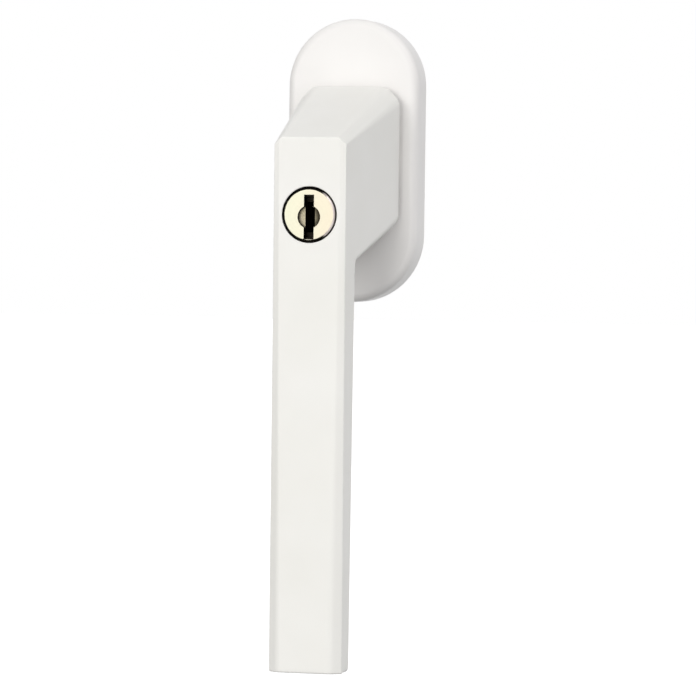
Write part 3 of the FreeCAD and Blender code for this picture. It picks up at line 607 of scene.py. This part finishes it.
def add_rear_face(shell, edge):
    """The neck's flat rear face round the collar, with the bolt's hole straight below the collar."""
    shell.between(edge, ring(REAR_FACE_RADIUS, NECK_REAR, count=FINE_RING), (0, 0))
    radii = [REAR_FACE_RADIUS, COLLAR_FOOT_RADIUS, COLLAR_RADIUS]
    face = turned([(radius, NECK_REAR) for radius in radii], count=FINE_RING)
    keep = np.ones((2, FINE_RING), bool)
    below, half_span = FINE_RING * 3 // 4, 6
    left, right = below - half_span, below + half_span
    keep[0, left:right] = False
    shell.grid(face, keep)
    shell.between(block_loop(face, 0, 1, left, right), ring(GUIDE_RADIUS, NECK_REAR, BOLT_Z), (0, BOLT_Z))


def add_collar(shell):
    """The collar behind the neck, with notches for the balls, a groove for the circlip and a square hole.

    A notch is a circle of radius n whose middle lies p from the axis: at an angle a from it the collar's
    radius drops to p cos a - sqrt(n^2 - (p sin a)^2).
    """
    off = (circle_angles(FINE_RING) + QUARTER / 2) % QUARTER - QUARTER / 2
    aside = NOTCH_PLACE * np.sin(off)
    root = np.sqrt(np.maximum(NOTCH_RADIUS ** 2 - aside ** 2, 0))
    in_notch = np.where(abs(aside) < NOTCH_RADIUS, NOTCH_PLACE * np.cos(off) - root, COLLAR_RADIUS)
    notched = np.minimum(COLLAR_RADIUS, in_notch)
    full, groove, end = COLLAR_RADIUS, COLLAR_RADIUS - GROOVE_DEPTH, COLLAR_RADIUS - COLLAR_CHAMFER
    rows = [(full, NECK_REAR), (full, NOTCH_FRONT), (notched, NOTCH_FRONT), (notched, NOTCH_REAR),
            (full, NOTCH_REAR), (full, GROOVE_FRONT), (groove, GROOVE_FRONT), (groove, GROOVE_REAR),
            (full, GROOVE_REAR), (full, COLLAR_END - COLLAR_CHAMFER), (end, COLLAR_END)]
    collar = turned(rows, count=FINE_RING)
    # The collar and its square hole take the same near black painted shade
    shell.grid(collar, paint=1)
    square = square_outline(SQUARE_HALF, SQUARE_CORNER)
    mouth, floor = at_depth(square, COLLAR_END), at_depth(square, SQUARE_FLOOR)
    shell.between(collar[-1], mouth, (0, 0), paint=1)
    shell.grid(np.stack([mouth, floor]), paint=1)
    shell.cap(floor, paint=1)


def make_casting(paint, bore_shade):
    """The handle's casting: an octagonal neck that turns down into the flat grip, with bores and a collar."""
    skin = CastingSkin()
    shell = Shell()
    add_lock_bore(shell, skin)
    add_grub_hole(shell, skin)
    add_lock_grub_hole(shell, skin)
    shell.grid(skin.points, skin.keep)
    shell.cap(skin.points[-1])
    add_rear_face(shell, skin.points[0])
    add_collar(shell)
    return shell.build("casting_shell", "handle", "handle_casting", [paint, bore_shade])


# Rosette cover

def make_cover(paint):
    """Shell with a rounded front edge: its outline goes inward by r (1 - cos a) while it rises by r sin a.

    The hole for the neck's collar has an edge that is rounded in the same way.
    """
    edge, out = stadium(COVER_RADIUS, COVER_STRAIGHT)

    def level(inset, y):
        """The outline moved inward, at one depth."""
        return at_depth(edge - out * inset, y)

    broken, step, low, margin, edge_steps, lip_steps = 0.25, 0.15, -1.0, 0.1, 10, 4
    start, inner = COVER_FRONT + COVER_ROUND, COVER_FRONT + COVER_WALL
    insets, rises = quarter_round(COVER_ROUND, edge_steps)
    rows = [level(broken, 0)] + [level(0, y) for y in (-broken, low, start + 4 * step, start + step)]
    rows += [level(inset, start - rise) for inset, rise in zip(insets, rises)]
    rows += [level(COVER_ROUND + step, COVER_FRONT)]
    lip = COVER_HOLE + COVER_LIP
    dips, reaches = quarter_round(COVER_LIP, lip_steps)
    hole = [(lip + margin, COVER_FRONT)]
    hole += [(lip - reach, COVER_FRONT + dip) for dip, reach in zip(dips, reaches)]
    hole += [(COVER_HOLE, inner)]
    inside = [level(COVER_WALL, inner), level(COVER_WALL, 0), level(broken, 0)]
    shell = Shell()
    shell.grid(np.stack(rows))
    shell.between(rows[-1], ring(lip + margin, COVER_FRONT, count=FINE_RING), (0, 0))
    shell.grid(turned(hole, count=FINE_RING))
    shell.between(inside[0], ring(COVER_HOLE, inner, count=FINE_RING), (0, 0))
    shell.grid(np.stack(inside))
    return shell.build("cover_shell", "cover", "rosette_cover", [paint])


# Lock plate

def keyhole(radius, half_width, half_height, y):
    """Outline of a round hole with an upright slot across it; its lower half is the upper turned round.

    The round part ends where the slot's side meets it, at the angle acos(half width / radius).
    """
    arc_points, slot_points = 25, 7
    bend = math.acos(half_width / radius)
    reach = radius * math.sin(bend)
    arc = np.linspace(-bend, bend, arc_points)
    right = radius * np.stack([np.cos(arc), np.sin(arc)], axis=1)
    rise = reach + (half_height - reach) * np.linspace(0, 1, slot_points)[1:-1]
    across = np.linspace(half_width, -half_width, slot_points)
    up = np.stack([np.full(len(rise), half_width), rise], axis=1)
    over = np.stack([across, np.full(len(across), half_height)], axis=1)
    down = np.stack([np.full(len(rise), -half_width), rise[::-1]], axis=1)
    half = np.concatenate([right, up, over, down])
    return at_depth(np.concatenate([half, -half]) + [0, KEYHOLE_Z], y)


def make_lock_plate(nickel, edge_shade):
    """Round plate with a turned chamfer, and the keyhole cut through it; chamfer and hole take painted shade.
    """
    outside, inside = FACE_RADIUS, FACE_RADIUS - FACE_CHAMFER
    flat_edge, foot = inside - 0.15, FACE_FRONT + FACE_CHAMFER
    soft, slight = 0.08, 0.03
    wider, broader, taller = 0.06, 0.05, 0.03
    chamfer = [(inside, FACE_FRONT), (inside + soft, FACE_FRONT + slight), (outside - slight, foot - soft),
               (outside, foot), (outside, FACE_REAR)]
    mouth = keyhole(HOLE_RADIUS + wider, SLOT_HALF_WIDTH + broader, SLOT_HALF_HEIGHT + taller, FACE_FRONT)
    throat = keyhole(HOLE_RADIUS, SLOT_HALF_WIDTH, SLOT_HALF_HEIGHT, FACE_FRONT + wider)
    rear = keyhole(HOLE_RADIUS, SLOT_HALF_WIDTH, SLOT_HALF_HEIGHT, FACE_REAR)
    shell = Shell()
    shell.grid(turned([(flat_edge, FACE_FRONT), (inside, FACE_FRONT)], LOCK_Z))
    # The chamfer and the keyhole's walls take the second material, nickel with painted shade
    shell.grid(turned(chamfer, LOCK_Z), paint=1)
    shell.between(ring(flat_edge, FACE_FRONT, LOCK_Z), mouth, (0, LOCK_Z))
    shell.grid(np.stack([mouth, throat, rear]), paint=1)
    shell.between(ring(outside, FACE_REAR, LOCK_Z), rear, (0, LOCK_Z), paint=1)
    return shell.build("lock_plate", "handle", "lock_face", [nickel, edge_shade])


# Steel hardware

def make_spindle(metal):
    """Square bar with broken corners and a small chamfer at each end."""
    corner, front_chamfer, rear_chamfer = 0.45, 0.5, 0.6
    rows = [(SPINDLE_HALF - front_chamfer, SPINDLE_FRONT), (SPINDLE_HALF, SPINDLE_FRONT + front_chamfer),
            (SPINDLE_HALF, SPINDLE_REAR - rear_chamfer), (SPINDLE_HALF - rear_chamfer, SPINDLE_REAR)]
    loops = [at_depth(square_outline(half, corner), y) for half, y in rows]
    shell = Shell()
    shell.grid(np.stack(loops))
    shell.cap(loops[0])
    shell.cap(loops[-1])
    return shell.build("spindle_bar", "handle", "spindle", [metal])


def screw_thread(z, count):
    """Thread of a screw: its radius is a wave along the axis that goes round once for each turn.

    The wave is 1 - |2 p - 1| with p the height in pitches less the share of a turn, cut flat at its crests.
    It fades in over one pitch and out over two, and the end is drawn in a little.
    """
    pitch, outer, depth, rows_per_turn = 0.8, 2.5, 0.45, 12
    start, end = 2.5, 38.0
    point_length, point_depth = 0.5, 0.25
    steepness, root_width = 1.35, 0.12
    height = np.arange(start, end, pitch / rows_per_turn)[:, None]
    phase = (height / pitch - circle_angles(count) / FULL) % 1
    crest = np.clip((1 - abs(2 * phase - 1)) * steepness - root_width, 0, 1)
    fade_in = np.clip((height - start) / pitch, 0, 1)
    fade_out = np.clip((end - height) / (2 * pitch), 0, 1)
    point = 1 - np.clip((end - height) / point_length, 0, 1)
    radius = outer - depth + depth * crest * np.minimum(fade_in, fade_out) - point_depth * point
    return np.stack([ring(radii, y, z, count) for radii, y in zip(radius, height[:, 0])])


def make_fixing_screw(name, node, z, metal):
    """Countersunk screw with a cross recess: its head and shank are turned, its thread is a wave."""
    count = 48
    head, shank_radius, front = 4.6, 2.2, -7.0
    rim, fillet, fillet_start, fillet_end = 0.15, 0.1, 0.05, 0.25
    under_head = front + head - shank_radius
    thread = screw_thread(z, count)
    profile = [(head, front), (head, front + rim), (shank_radius + fillet, under_head + fillet_start),
               (shank_radius, under_head + fillet_end), (shank_radius, thread[0, 0, 1] - fillet)]
    shank = turned(profile, z, count)
    reach, arm, recess, taper = 2.3, 0.45, 1.5, 0.8
    cross = np.array([[arm, arm], [arm, reach], [-arm, reach], [-arm, arm], [-reach, arm], [-reach, -arm],
                      [-arm, -arm], [-arm, -reach], [arm, -reach], [arm, -arm], [reach, -arm], [reach, arm]])
    mouth = at_depth(cross + [0, z], front)
    floor = at_depth(cross * taper + [0, z], front + recess)
    shell = Shell()
    shell.grid(np.concatenate([shank, thread]))
    shell.cap(thread[-1])
    shell.between(shank[0], mouth, (0, z))
    shell.grid(np.stack([mouth, floor]))
    shell.cap(floor)
    return shell.build(name, "rosette_base", node, [metal])


# Pieces that keep the solid's shape

def neat_copy(node, body, material):
    """A CAD piece as one joined mesh, so that its round faces shade as round."""
    mesh = frame["nodes"][node].data.copy()
    mesh.materials.clear()
    mesh.polygons.foreach_set("material_index", [0] * len(mesh.polygons))
    return finish_piece(f"{node}_part", mesh, body, node, [material], keep_flat=True)


def squeeze_bolt_spring(spring):
    """Gives the spring a mesh of its own."""
    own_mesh(spring)


# Materials

# Sockets of the colour mix node
MIX_SHARE, MIX_FIRST, MIX_SECOND, MIX_RESULT = 0, 6, 7, 2
# Most of a noise lies between these values
NOISE_SPAN = {"From Min": 0.3, "From Max": 0.7}


def linear(text):
    """An sRGB hex colour as linear values."""
    parts = [int(text[i:i + 2], 16) / 255 for i in (0, 2, 4)]
    return tuple(c / 12.92 if c <= 0.04045 else ((c + 0.055) / 1.055) ** 2.4 for c in parts) + (1.0,)


def add(tree, kind, values=None, links=None, **traits):
    """Adds a node with its settings, plain inputs and linked inputs."""
    node = tree.nodes.new(kind)
    for name, value in traits.items():
        setattr(node, name, value)
    for name, value in (values or {}).items():
        node.inputs[name].default_value = value
    for name, source in (links or {}).items():
        tree.links.new(source, node.inputs[name])
    return node


def new_material(name, metallic=0.0):
    """A new material, its tree with an output, its Principled shader, and the place on the piece."""
    material = bpy.data.materials.new(name)
    material.use_nodes = True
    tree = material.node_tree
    tree.nodes.clear()
    shader = add(tree, "ShaderNodeBsdfPrincipled", {"Metallic": metallic})
    add(tree, "ShaderNodeOutputMaterial", links={"Surface": shader.outputs["BSDF"]})
    place = add(tree, "ShaderNodeTexCoord").outputs["Object"]
    return material, tree, shader, place


def drift(tree, place, size, low, high, detail=2.0):
    """A value that wanders from low to high in patches about as wide as the size in millimetres."""
    patches = add(tree, "ShaderNodeTexNoise", {"Scale": 1 / (size * MM), "Detail": detail}, {"Vector": place})
    return add(tree, "ShaderNodeMapRange", {**NOISE_SPAN, "To Min": low, "To Max": high},
               {"Value": patches.outputs["Fac"]}).outputs["Result"]


def tint(tree, place, light, dark, size):
    """A colour that wanders between two hex colours in patches about as wide as the size in millimetres."""
    share = drift(tree, place, size, low=0.0, high=1.0)
    colours = {MIX_FIRST: linear(light), MIX_SECOND: linear(dark)}
    return add(tree, "ShaderNodeMix", colours, {MIX_SHARE: share}, data_type="RGBA").outputs[MIX_RESULT]


def engrave(tree, shader, marks, bright, dull, height=0.002):
    """Marks that roughen the shine, from bright to dull, and stand up by a height in millimetres."""
    span = {**NOISE_SPAN, "To Min": bright, "To Max": dull}
    rough = add(tree, "ShaderNodeMapRange", span, {"Value": marks})
    relief = add(tree, "ShaderNodeBump", {"Strength": 0.6, "Distance": height * MM}, {"Height": marks})
    tree.links.new(rough.outputs["Result"], shader.inputs["Roughness"])
    tree.links.new(relief.outputs["Normal"], shader.inputs["Normal"])


def soft_border(tree, value, wander, start, end):
    """Rises softly from 0 to 1 as the value, moved by the wander, goes from start to end millimetres."""
    moved = add(tree, "ShaderNodeMath", links={0: value, 1: wander}, operation="ADD").outputs[0]
    return add(tree, "ShaderNodeMapRange", {"From Min": start * MM, "From Max": end * MM}, {"Value": moved},
               interpolation_type="SMOOTHSTEP").outputs["Result"]


def distance_from(tree, place, centre_x, centre_z):
    """How far a point lies from an axis along Y."""
    parts = add(tree, "ShaderNodeSeparateXYZ", links={"Vector": place}).outputs
    side = add(tree, "ShaderNodeMath", {1: -centre_x * MM}, {0: parts["X"]}, operation="ADD").outputs[0]
    up = add(tree, "ShaderNodeMath", {1: -centre_z * MM}, {0: parts["Z"]}, operation="ADD").outputs[0]
    flat = add(tree, "ShaderNodeCombineXYZ", links={"X": side, "Y": up}).outputs[0]
    return add(tree, "ShaderNodeVectorMath", links={0: flat}, operation="LENGTH").outputs["Value"]


def powder_coat(name, light, dark):
    """Powder coat, sprayed and baked: satin white with a weak shine and a faint orange peel 0.7 mm across."""
    material, tree, shader, place = new_material(name)
    shader.inputs["Specular IOR Level"].default_value = 0.3
    tree.links.new(tint(tree, place, light, dark, size=22.0), shader.inputs["Base Color"])
    tree.links.new(drift(tree, place, size=6.0, low=0.37, high=0.44), shader.inputs["Roughness"])
    peel = add(tree, "ShaderNodeTexNoise", {"Scale": 1 / (0.7 * MM), "Detail": 1.0}, {"Vector": place})
    relief = add(tree, "ShaderNodeBump", {"Strength": 0.35, "Distance": 0.004 * MM},
                 {"Height": peel.outputs["Fac"]})
    tree.links.new(relief.outputs["Normal"], shader.inputs["Normal"])
    return material


def moulded_plastic(name, light, dark, rough, grain):
    """Moulded plastic: a dull skin whose fine grain breaks the light."""
    material, tree, shader, place = new_material(name)
    tree.links.new(tint(tree, place, light, dark, size=9.0), shader.inputs["Base Color"])
    dull = drift(tree, place, size=2.0, low=rough - 0.05, high=rough + 0.07)
    tree.links.new(dull, shader.inputs["Roughness"])
    fine = add(tree, "ShaderNodeTexNoise", {"Scale": 1 / (grain * MM), "Detail": 3.0}, {"Vector": place})
    relief = add(tree, "ShaderNodeBump", {"Strength": 0.6, "Distance": 0.01 * MM},
                 {"Height": fine.outputs["Fac"]})
    tree.links.new(relief.outputs["Normal"], shader.inputs["Normal"])
    return material


def worked_metal(name, light, dark, rough, grain, stretch=(1, 1, 1)):
    """Cast, drawn, turned or plated metal: its tone shifts a little, and fine marks roughen its shine.

    The grain is the marks' width in millimetres, and stretch packs them closer along an axis.
    """
    material, tree, shader, place = new_material(name, metallic=1.0)
    tree.links.new(tint(tree, place, light, dark, size=4.0), shader.inputs["Base Color"])
    drawn = add(tree, "ShaderNodeMapping", {"Scale": stretch}, {"Vector": place}).outputs["Vector"]
    marks = add(tree, "ShaderNodeTexNoise", {"Scale": 1 / (grain * MM), "Detail": 3.0}, {"Vector": drawn})
    engrave(tree, shader, marks.outputs["Fac"], bright=rough - 0.06, dull=rough + 0.1)
    return material


def shaded_core(name, light, dark, shade_colour, grain=0.3):
    """Machined brass with painted light: a painted highlight left of the keyhole's middle, and near black
    painted shade farther out and deeper in.
    """
    material, tree, shader, place = new_material(name, metallic=1.0)
    depth = add(tree, "ShaderNodeSeparateXYZ", links={"Vector": place}).outputs["Y"]
    wander = drift(tree, place, size=0.8, low=-0.12 * MM, high=0.12 * MM, detail=3.0)
    # Painted shade: darker deeper in the lock and farther from the painted highlight's middle
    deep = soft_border(tree, depth, wander, start=-48.4, end=-47.9)
    away = soft_border(tree, distance_from(tree, place, LIT_CORE_X, KEYHOLE_Z), wander, start=1.4, end=3.8)
    painted_shade = add(tree, "ShaderNodeMath", links={0: deep, 1: away}, operation="MAXIMUM").outputs[0]
    lit_colour = tint(tree, place, light, dark, size=1.5)
    colour = add(tree, "ShaderNodeMix", {MIX_SECOND: linear(shade_colour)}, {MIX_SHARE: painted_shade, MIX_FIRST: lit_colour},
                 data_type="RGBA").outputs[MIX_RESULT]
    tree.links.new(colour, shader.inputs["Base Color"])
    marks = add(tree, "ShaderNodeTexNoise", {"Scale": 1 / (grain * MM), "Detail": 3.0}, {"Vector": place})
    engrave(tree, shader, marks.outputs["Fac"], bright=0.35, dull=0.55)
    return material


def shaded_edge(name, light, dark, shade_colour, grain=0.4):
    """Nickel plate with painted shade: near black on the keyhole's walls and most of the chamfer, turning to
    the plain nickel tone on the chamfer's right as a painted reflection.
    """
    material, tree, shader, place = new_material(name, metallic=1.0)
    across = add(tree, "ShaderNodeSeparateXYZ", links={"Vector": place}).outputs["X"]
    wander = drift(tree, place, size=1.2, low=-0.5 * MM, high=0.5 * MM, detail=3.0)
    # Painted reflection: the painted shade gives way to plain nickel towards the right
    lit_share = soft_border(tree, across, wander, start=3.0, end=4.8)
    lit_colour = tint(tree, place, light, dark, size=1.5)
    colour = add(tree, "ShaderNodeMix", {MIX_FIRST: linear(shade_colour)}, {MIX_SHARE: lit_share, MIX_SECOND: lit_colour},
                 data_type="RGBA").outputs[MIX_RESULT]
    tree.links.new(colour, shader.inputs["Base Color"])
    marks = add(tree, "ShaderNodeTexNoise", {"Scale": 1 / (grain * MM), "Detail": 3.0}, {"Vector": place})
    engrave(tree, shader, marks.outputs["Fac"], bright=0.38, dull=0.52)
    return material


def turned_nickel(name, left, right, spacing=0.12):
    """Nickel plate over a turned face: rings 0.12 mm apart, and a tone that warms towards the right."""
    material, tree, shader, place = new_material(name, metallic=1.0)
    across = add(tree, "ShaderNodeSeparateXYZ", links={"Vector": place}).outputs["X"]
    wander = drift(tree, place, size=5.0, low=-2.0 * MM, high=2.0 * MM)
    share = soft_border(tree, across, wander, start=-7.0, end=7.0)
    colours = {MIX_FIRST: linear(left), MIX_SECOND: linear(right)}
    colour = add(tree, "ShaderNodeMix", colours, {MIX_SHARE: share}, data_type="RGBA").outputs[MIX_RESULT]
    tree.links.new(colour, shader.inputs["Base Color"])
    rings = add(tree, "ShaderNodeTexNoise", {"Scale": 1 / (spacing * MM), "Detail": 2.0},
                {"W": distance_from(tree, place, 0.0, LOCK_Z)}, noise_dimensions="1D")
    engrave(tree, shader, rings.outputs["Fac"], bright=0.38, dull=0.48, height=0.0012)
    return material


# Polyester powder coat: satin, a slightly yellow white on the handle and a pinker one on the cover
casting_white = powder_coat("casting_powder_coat", "f4f3f0", "f1f0ec")
cover_white = powder_coat("cover_powder_coat", "f3f1f0", "f0eeed")
# Bare cast zinc in the bores and on the collar: dull, and coloured near black as painted shade, as little
# light gets there
bore_painted_shade = worked_metal("bore_shadowed_zinc", "3c3a36", "2e2c29", 0.55, 0.6)
# Moulded polyamide with glass fibre: grey white and dull. Moulded acetal: whiter and smoother
base_polyamide = moulded_plastic("base_glass_filled_polyamide", "c9c8c2", "bdbcb5", 0.55, 0.35)
bearing_polymer = moulded_plastic("bearing_acetal", "dcdbd4", "cfcec6", 0.42, 0.5)
# Steel, zinc-plated and blued: bluish grey, bright, with cloudy spots
zinc_plate = worked_metal("hardware_zinc_plate", "c9ccd2", "b2b6c0", 0.28, 1.2)
# Steel turned or rolled bare: neutral grey with fine rings. Spring wire: a little darker, drawn
bright_steel = worked_metal("turned_bright_steel", "c6c5c3", "b3b2b0", 0.24, 0.3, (1, 6, 1))
spring_steel = worked_metal("spring_wire", "a9a8a6", "8e8d8b", 0.3, 0.4)
# Steel with black oxide: near black, half dull
black_steel = worked_metal("black_oxide_steel", "2b2a29", "1f1e1d", 0.42, 0.4)
# Nickel plate on brass: the turned face mirrors a warm white; its chamfer and the keyhole's walls carry
# painted shade and a painted reflection
nickel_face = turned_nickel("nickel_plated_face", "a09f8f", "a29b8c")
nickel_edge = shaded_edge("nickel_plated_edge", "c9bfbc", "b9b0ac", "100e0b")
# Brass, machined: yellow with fine rings; in the lock it carries painted shade, and on the core a painted
# highlight
brass = worked_metal("machined_brass", "c2a063", "a88549", 0.32, 0.4, (1, 5, 1))
core_brass = shaded_core("core_shaded_brass", "878070", "77715d", "1c1912")
# Housing and wafers deep in the keyhole: brass coloured near black as painted shade
shaded_inner_brass = worked_metal("lock_shaded_brass", "1f1c17", "171411", 0.5, 0.4)

SLOT_MATERIALS = {
    "white_casting": casting_white,
    "white_cover": cover_white,
    "base_polyamide": base_polyamide,
    "bearing_polymer": bearing_polymer,
    "zinc_plated_steel": zinc_plate,
    "bright_steel": bright_steel,
    "spring_steel": spring_steel,
    "black_steel": black_steel,
    "nickel_plated_brass": nickel_face,
    "brass": brass,
}

# Pieces that show in the keyhole, coloured near black as painted shade
INNER_MATERIALS = {node: shaded_inner_brass for node in ("lock_housing", "wafer_1", "wafer_2", "wafer_3", "wafer_4")}
INNER_MATERIALS["lock_core"] = core_brass


# Pieces

def make_pieces():
    """Makes every visible piece; each remaining CAD node gets a joined copy in its own material."""
    drawn = [
        make_casting(casting_white, bore_painted_shade),
        make_cover(cover_white),
        make_lock_plate(nickel_face, nickel_edge),
        make_spindle(zinc_plate),
        make_fixing_screw("screw_upper", "fixing_screw_upper", SCREW_Z, zinc_plate),
        make_fixing_screw("screw_lower", "fixing_screw_lower", -SCREW_Z, zinc_plate),
    ]
    done = {node for piece in drawn for node in piece["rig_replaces"]}
    slots = {part["node"]: part["material_slot"] for part in frame["record"]["subparts"]}
    for body, nodes in frame["record"]["behaviour"]["bodies"].items():
        for node in nodes:
            if node in done:
                continue
            material = INNER_MATERIALS.get(node, SLOT_MATERIALS[slots[node]])
            piece = neat_copy(node, body, material)
            if node == "bolt_spring":
                squeeze_bolt_spring(piece)


make_pieces()


# Stage and light

# Soft boxes that face the lock: name, place, side in metres, watts and tone
LAMPS = [
    ("front_lamp", (-0.35, -1.6, 0.2), 1.0, 12.3, "fffefa"),
    ("side_lamp", (1.2, 0.9, 0.1), 0.8, 2.6, "ffffff"),
    ("upper_lamp", (1.0, -0.8, 1.1), 0.8, 7.2, "ffffff"),
    ("lower_lamp", (0.7, -1.5, -0.3), 0.5, 1.9, "ffffff"),
]
LAMP_TARGET = (0.0, -0.03, -0.03)
ROOM_LIGHT = 0.49
FLOOR_LEVEL = -0.6
FLOOR_HALF = 30.0


def seen_directly(tree):
    """1 for rays from the camera, in reflections and through clear pieces, 0 for light on dull surfaces."""
    path = add(tree, "ShaderNodeLightPath").outputs
    shiny = add(tree, "ShaderNodeMath", links={0: path["Is Glossy Ray"], 1: path["Is Transmission Ray"]},
                operation="MAXIMUM").outputs[0]
    ends = {0: path["Is Camera Ray"], 1: shiny}
    return add(tree, "ShaderNodeMath", links=ends, operation="MAXIMUM").outputs[0]


def make_stage():
    """A matt floor far below, which shows white to the eye and still takes the object's shadow."""
    corners = [(x * FLOOR_HALF, y * FLOOR_HALF, FLOOR_LEVEL) for x, y in ((-1, -1), (1, -1), (1, 1), (-1, 1))]
    mesh = bpy.data.meshes.new("floor")
    mesh.from_pydata(corners, [], [(0, 1, 2, 3)])
    floor = new_object("floor", mesh)
    material, tree, shader = new_material("floor_white")[:3]
    shader.inputs["Base Color"].default_value = linear("8c8c8c")
    shader.inputs["Roughness"].default_value = 0.9
    shader.inputs["Emission Color"].default_value = linear("ffffff")
    tree.links.new(seen_directly(tree), shader.inputs["Emission Strength"])
    mesh.materials.append(material)


def make_world():
    """An even white room: pure white to the eye and in reflections, plain light on dull surfaces."""
    world = bpy.data.worlds.new("room")
    bpy.context.scene.world = world
    world.use_nodes = True
    tree = world.node_tree
    tree.nodes.clear()
    light = add(tree, "ShaderNodeBackground", {"Color": linear("ffffff"), "Strength": ROOM_LIGHT})
    white = add(tree, "ShaderNodeBackground", {"Color": linear("ffffff"), "Strength": 1.0})
    both = add(tree, "ShaderNodeMixShader",
               links={0: seen_directly(tree), 1: light.outputs[0], 2: white.outputs[0]})
    add(tree, "ShaderNodeOutputWorld", links={"Surface": both.outputs[0]})


def set_up(name, data, right, up, back, place):
    """Puts a lamp or camera at a place, with its own axes: it looks away from its back."""
    item = new_object(name, data)
    columns = np.stack([right, up, back, np.array(place)], axis=1)
    item.matrix_world = Matrix(np.vstack([columns, [0, 0, 0, 1]]).tolist())
    return item


def make_lamp(name, place, size, power, tone):
    """A square soft box that faces the lamps' target, its side level."""
    data = bpy.data.lights.new(name, "AREA")
    data.shape = "SQUARE"
    data.size = size
    data.energy = power
    data.color = linear(tone)[:3]
    back = np.array(place) - np.array(LAMP_TARGET)
    back = back / np.linalg.norm(back)
    right = np.cross([0.0, 0.0, 1.0], back)
    right = right / np.linalg.norm(right)
    set_up(name, data, right, np.cross(back, right), back, place)


make_stage()
make_world()
for lamp in LAMPS:
    make_lamp(*lamp)


# Camera

# Worked out from the object's edges in the photograph, which is square
VIEW_SIDE = math.radians(14.343)
VIEW_RISE = math.radians(1.410)
VIEW_ROLL = math.radians(0.781)
VIEW_TARGET = np.array([3.793, -25.0, -46.398])
VIEW_DISTANCE = 1050.0
FOCAL_PIXELS = 4271.87
PICTURE_PIXELS = 696
SENSOR = 36.0


def make_camera():
    """The photograph's view: from a little right of the middle and a touch above, slightly rolled."""
    level = np.array([math.cos(VIEW_SIDE), math.sin(VIEW_SIDE), 0.0])
    away = math.cos(VIEW_RISE)
    back = np.array([level[1] * away, -level[0] * away, math.sin(VIEW_RISE)])
    upright = np.cross(back, level)
    right = level * math.cos(VIEW_ROLL) + upright * math.sin(VIEW_ROLL)
    up = upright * math.cos(VIEW_ROLL) - level * math.sin(VIEW_ROLL)
    data = bpy.data.cameras.new("camera")
    data.sensor_width = SENSOR
    data.lens = FOCAL_PIXELS * SENSOR / PICTURE_PIXELS
    data.clip_start = 0.05
    data.clip_end = 100.0
    place = (VIEW_TARGET + back * VIEW_DISTANCE) * MM
    bpy.context.scene.camera = set_up("camera", data, right, up, back, place)


make_camera()
bpy.context.scene.view_settings.view_transform = "Standard"
